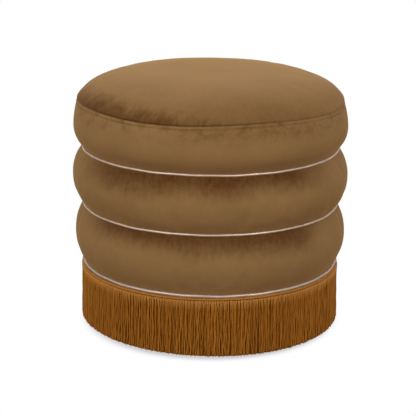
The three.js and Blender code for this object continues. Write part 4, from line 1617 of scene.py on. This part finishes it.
# The cells are 1 mm wide.
cells = add_node(foam, "TexVoronoi", {
    "Vector": foam_place.outputs["Object"], "Scale": 1000.0,
}, feature="DISTANCE_TO_EDGE")
foam_colour = add_node(foam, "Mix", {
    0: cells.outputs["Distance"], 6: paint("#EFE4BE"), 7: paint("#D6C690"),
}, data_type="RGBA")
foam_relief = add_node(foam, "Bump", {
    "Height": cells.outputs["Distance"], "Strength": 0.6, "Distance": 0.4 * MM,
})
dress(foam, {
    "Base Color": foam_colour.outputs[2], "Roughness": 0.95, "Specular IOR Level": 0.2,
    "Normal": foam_relief,
})

fleece = new_material("Polyester wadding")
fleece_place = add_node(fleece, "TexCoord")
fluff = add_node(fleece, "TexNoise", {
    "Vector": fleece_place.outputs["Object"], "Scale": 160.0, "Detail": 7.0, "Distortion": 2.5,
})
fleece_colour = add_node(fleece, "Mix", {
    0: fluff, 6: paint("#E2DFD6"), 7: paint("#FAF9F5"),
}, data_type="RGBA")
fleece_relief = add_node(fleece, "Bump", {"Height": fluff, "Strength": 0.6, "Distance": 1.0 * MM})
dress(fleece, {
    "Base Color": fleece_colour.outputs[2], "Roughness": 1.0, "Sheen Weight": 0.3,
    "Normal": fleece_relief,
})
print("fillings:", foam.name, "/", fleece.name)

# %% [markdown]
# A CAD piece whose shape is right stays, and only its material slots are filled anew. The start of a
# piece's name says what it is made of.

# %% Give the CAD pieces their materials
made_of = {
    "base_board": birch_ply, "seat_board": birch_ply, "lower_hoop": birch_ply, "middle_hoop": birch_ply,
    "drum_wall": hardboard, "plinth_wall": hardboard, "batten_": pine,
    "lower_batten_screw_": zinc, "upper_batten_screw_": zinc,
}
dressed = []
for node_name, piece in frame["nodes"].items():
    for start_of_name, material in made_of.items():
        if node_name.startswith(start_of_name):
            dressed.append(node_name)
            for material_slot in piece.material_slots:
                material_slot.link = "OBJECT"
                material_slot.material = material
print("CAD pieces with a new material:", len(dressed))

# %% [markdown]
# The foam and the wadding are soft, so they are made again as slightly uneven pads that fill the space
# under the covers. Each stays a few millimetres inside its cover, so that nothing pokes through.

# %% Make the foam and the wadding
FOAM_INSIDE, FOAM_OUTSIDE = 178.4, 212.3
FOAM_FROM_HOOP = 8.1
FOAM_INSET = 3.6
WADDING_INSET = 10.0


def soft_pad(name, node, outline, material, unevenness):
    columns = even_columns(144)
    waves = waves_round(12, 50, 8, 0.05)
    relief = unevenness * (wave_height(waves, columns, length_along(outline)[:, None]) - 1.0)
    points = turned_points(outline, columns) + turned_points(outward(outline), columns) * relief[:, :, None]
    faces = grid_faces(len(outline), len(columns))
    pad = make_piece(name, points, faces, material, grid_uv(outline, columns), [node])


def foam_ring(low, high):
    bottom, top = low + FOAM_FROM_HOOP, high - FOAM_FROM_HOOP
    skin = roll_outline(low, high, 40, FOAM_INSET)
    skin = skin[(skin[:, 1] > bottom + 0.1) & (skin[:, 1] < top - 0.1)]
    underside = np.linspace([FOAM_INSIDE, bottom], [FOAM_OUTSIDE, bottom], 7)
    upper_side = np.linspace([FOAM_OUTSIDE, top], [FOAM_INSIDE, top], 7)
    wall_side = np.linspace([FOAM_INSIDE, top], [FOAM_INSIDE, bottom], 7)
    return np.concatenate([underside, skin, upper_side, wall_side[1:]])


lower_ring = foam_ring(LEVELS["lower"], LEVELS["middle"])
middle_ring = foam_ring(LEVELS["middle"], LEVELS["upper"])
seat_block = np.concatenate([
    [[0.5, SEAT_BOARD_TOP], [100, SEAT_BOARD_TOP], [212.0, SEAT_BOARD_TOP + 0.2]],
    band_outline(np.linspace(-0.6, 0.78, 24), FOAM_INSET),
    crown_outline(np.linspace(0.93, 0.002, 30), WADDING_INSET + 0.6),
])
wadding_sheet = np.concatenate([
    crown_outline(np.linspace(0.002, 0.93, 30), WADDING_INSET),
    [[217.5, 377.6]],
    crown_outline(np.linspace(0.965, 0.002, 30), FOAM_INSET),
])
soft_pad("lower_foam_ring", "lower_foam", lower_ring, foam, 0.15)
soft_pad("middle_foam_ring", "middle_foam", middle_ring, foam, 0.15)
soft_pad("seat_foam_block", "seat_foam", seat_block, foam, 0.15)
soft_pad("seat_wadding_sheet", "seat_wadding", wadding_sheet, fleece, 0.2)
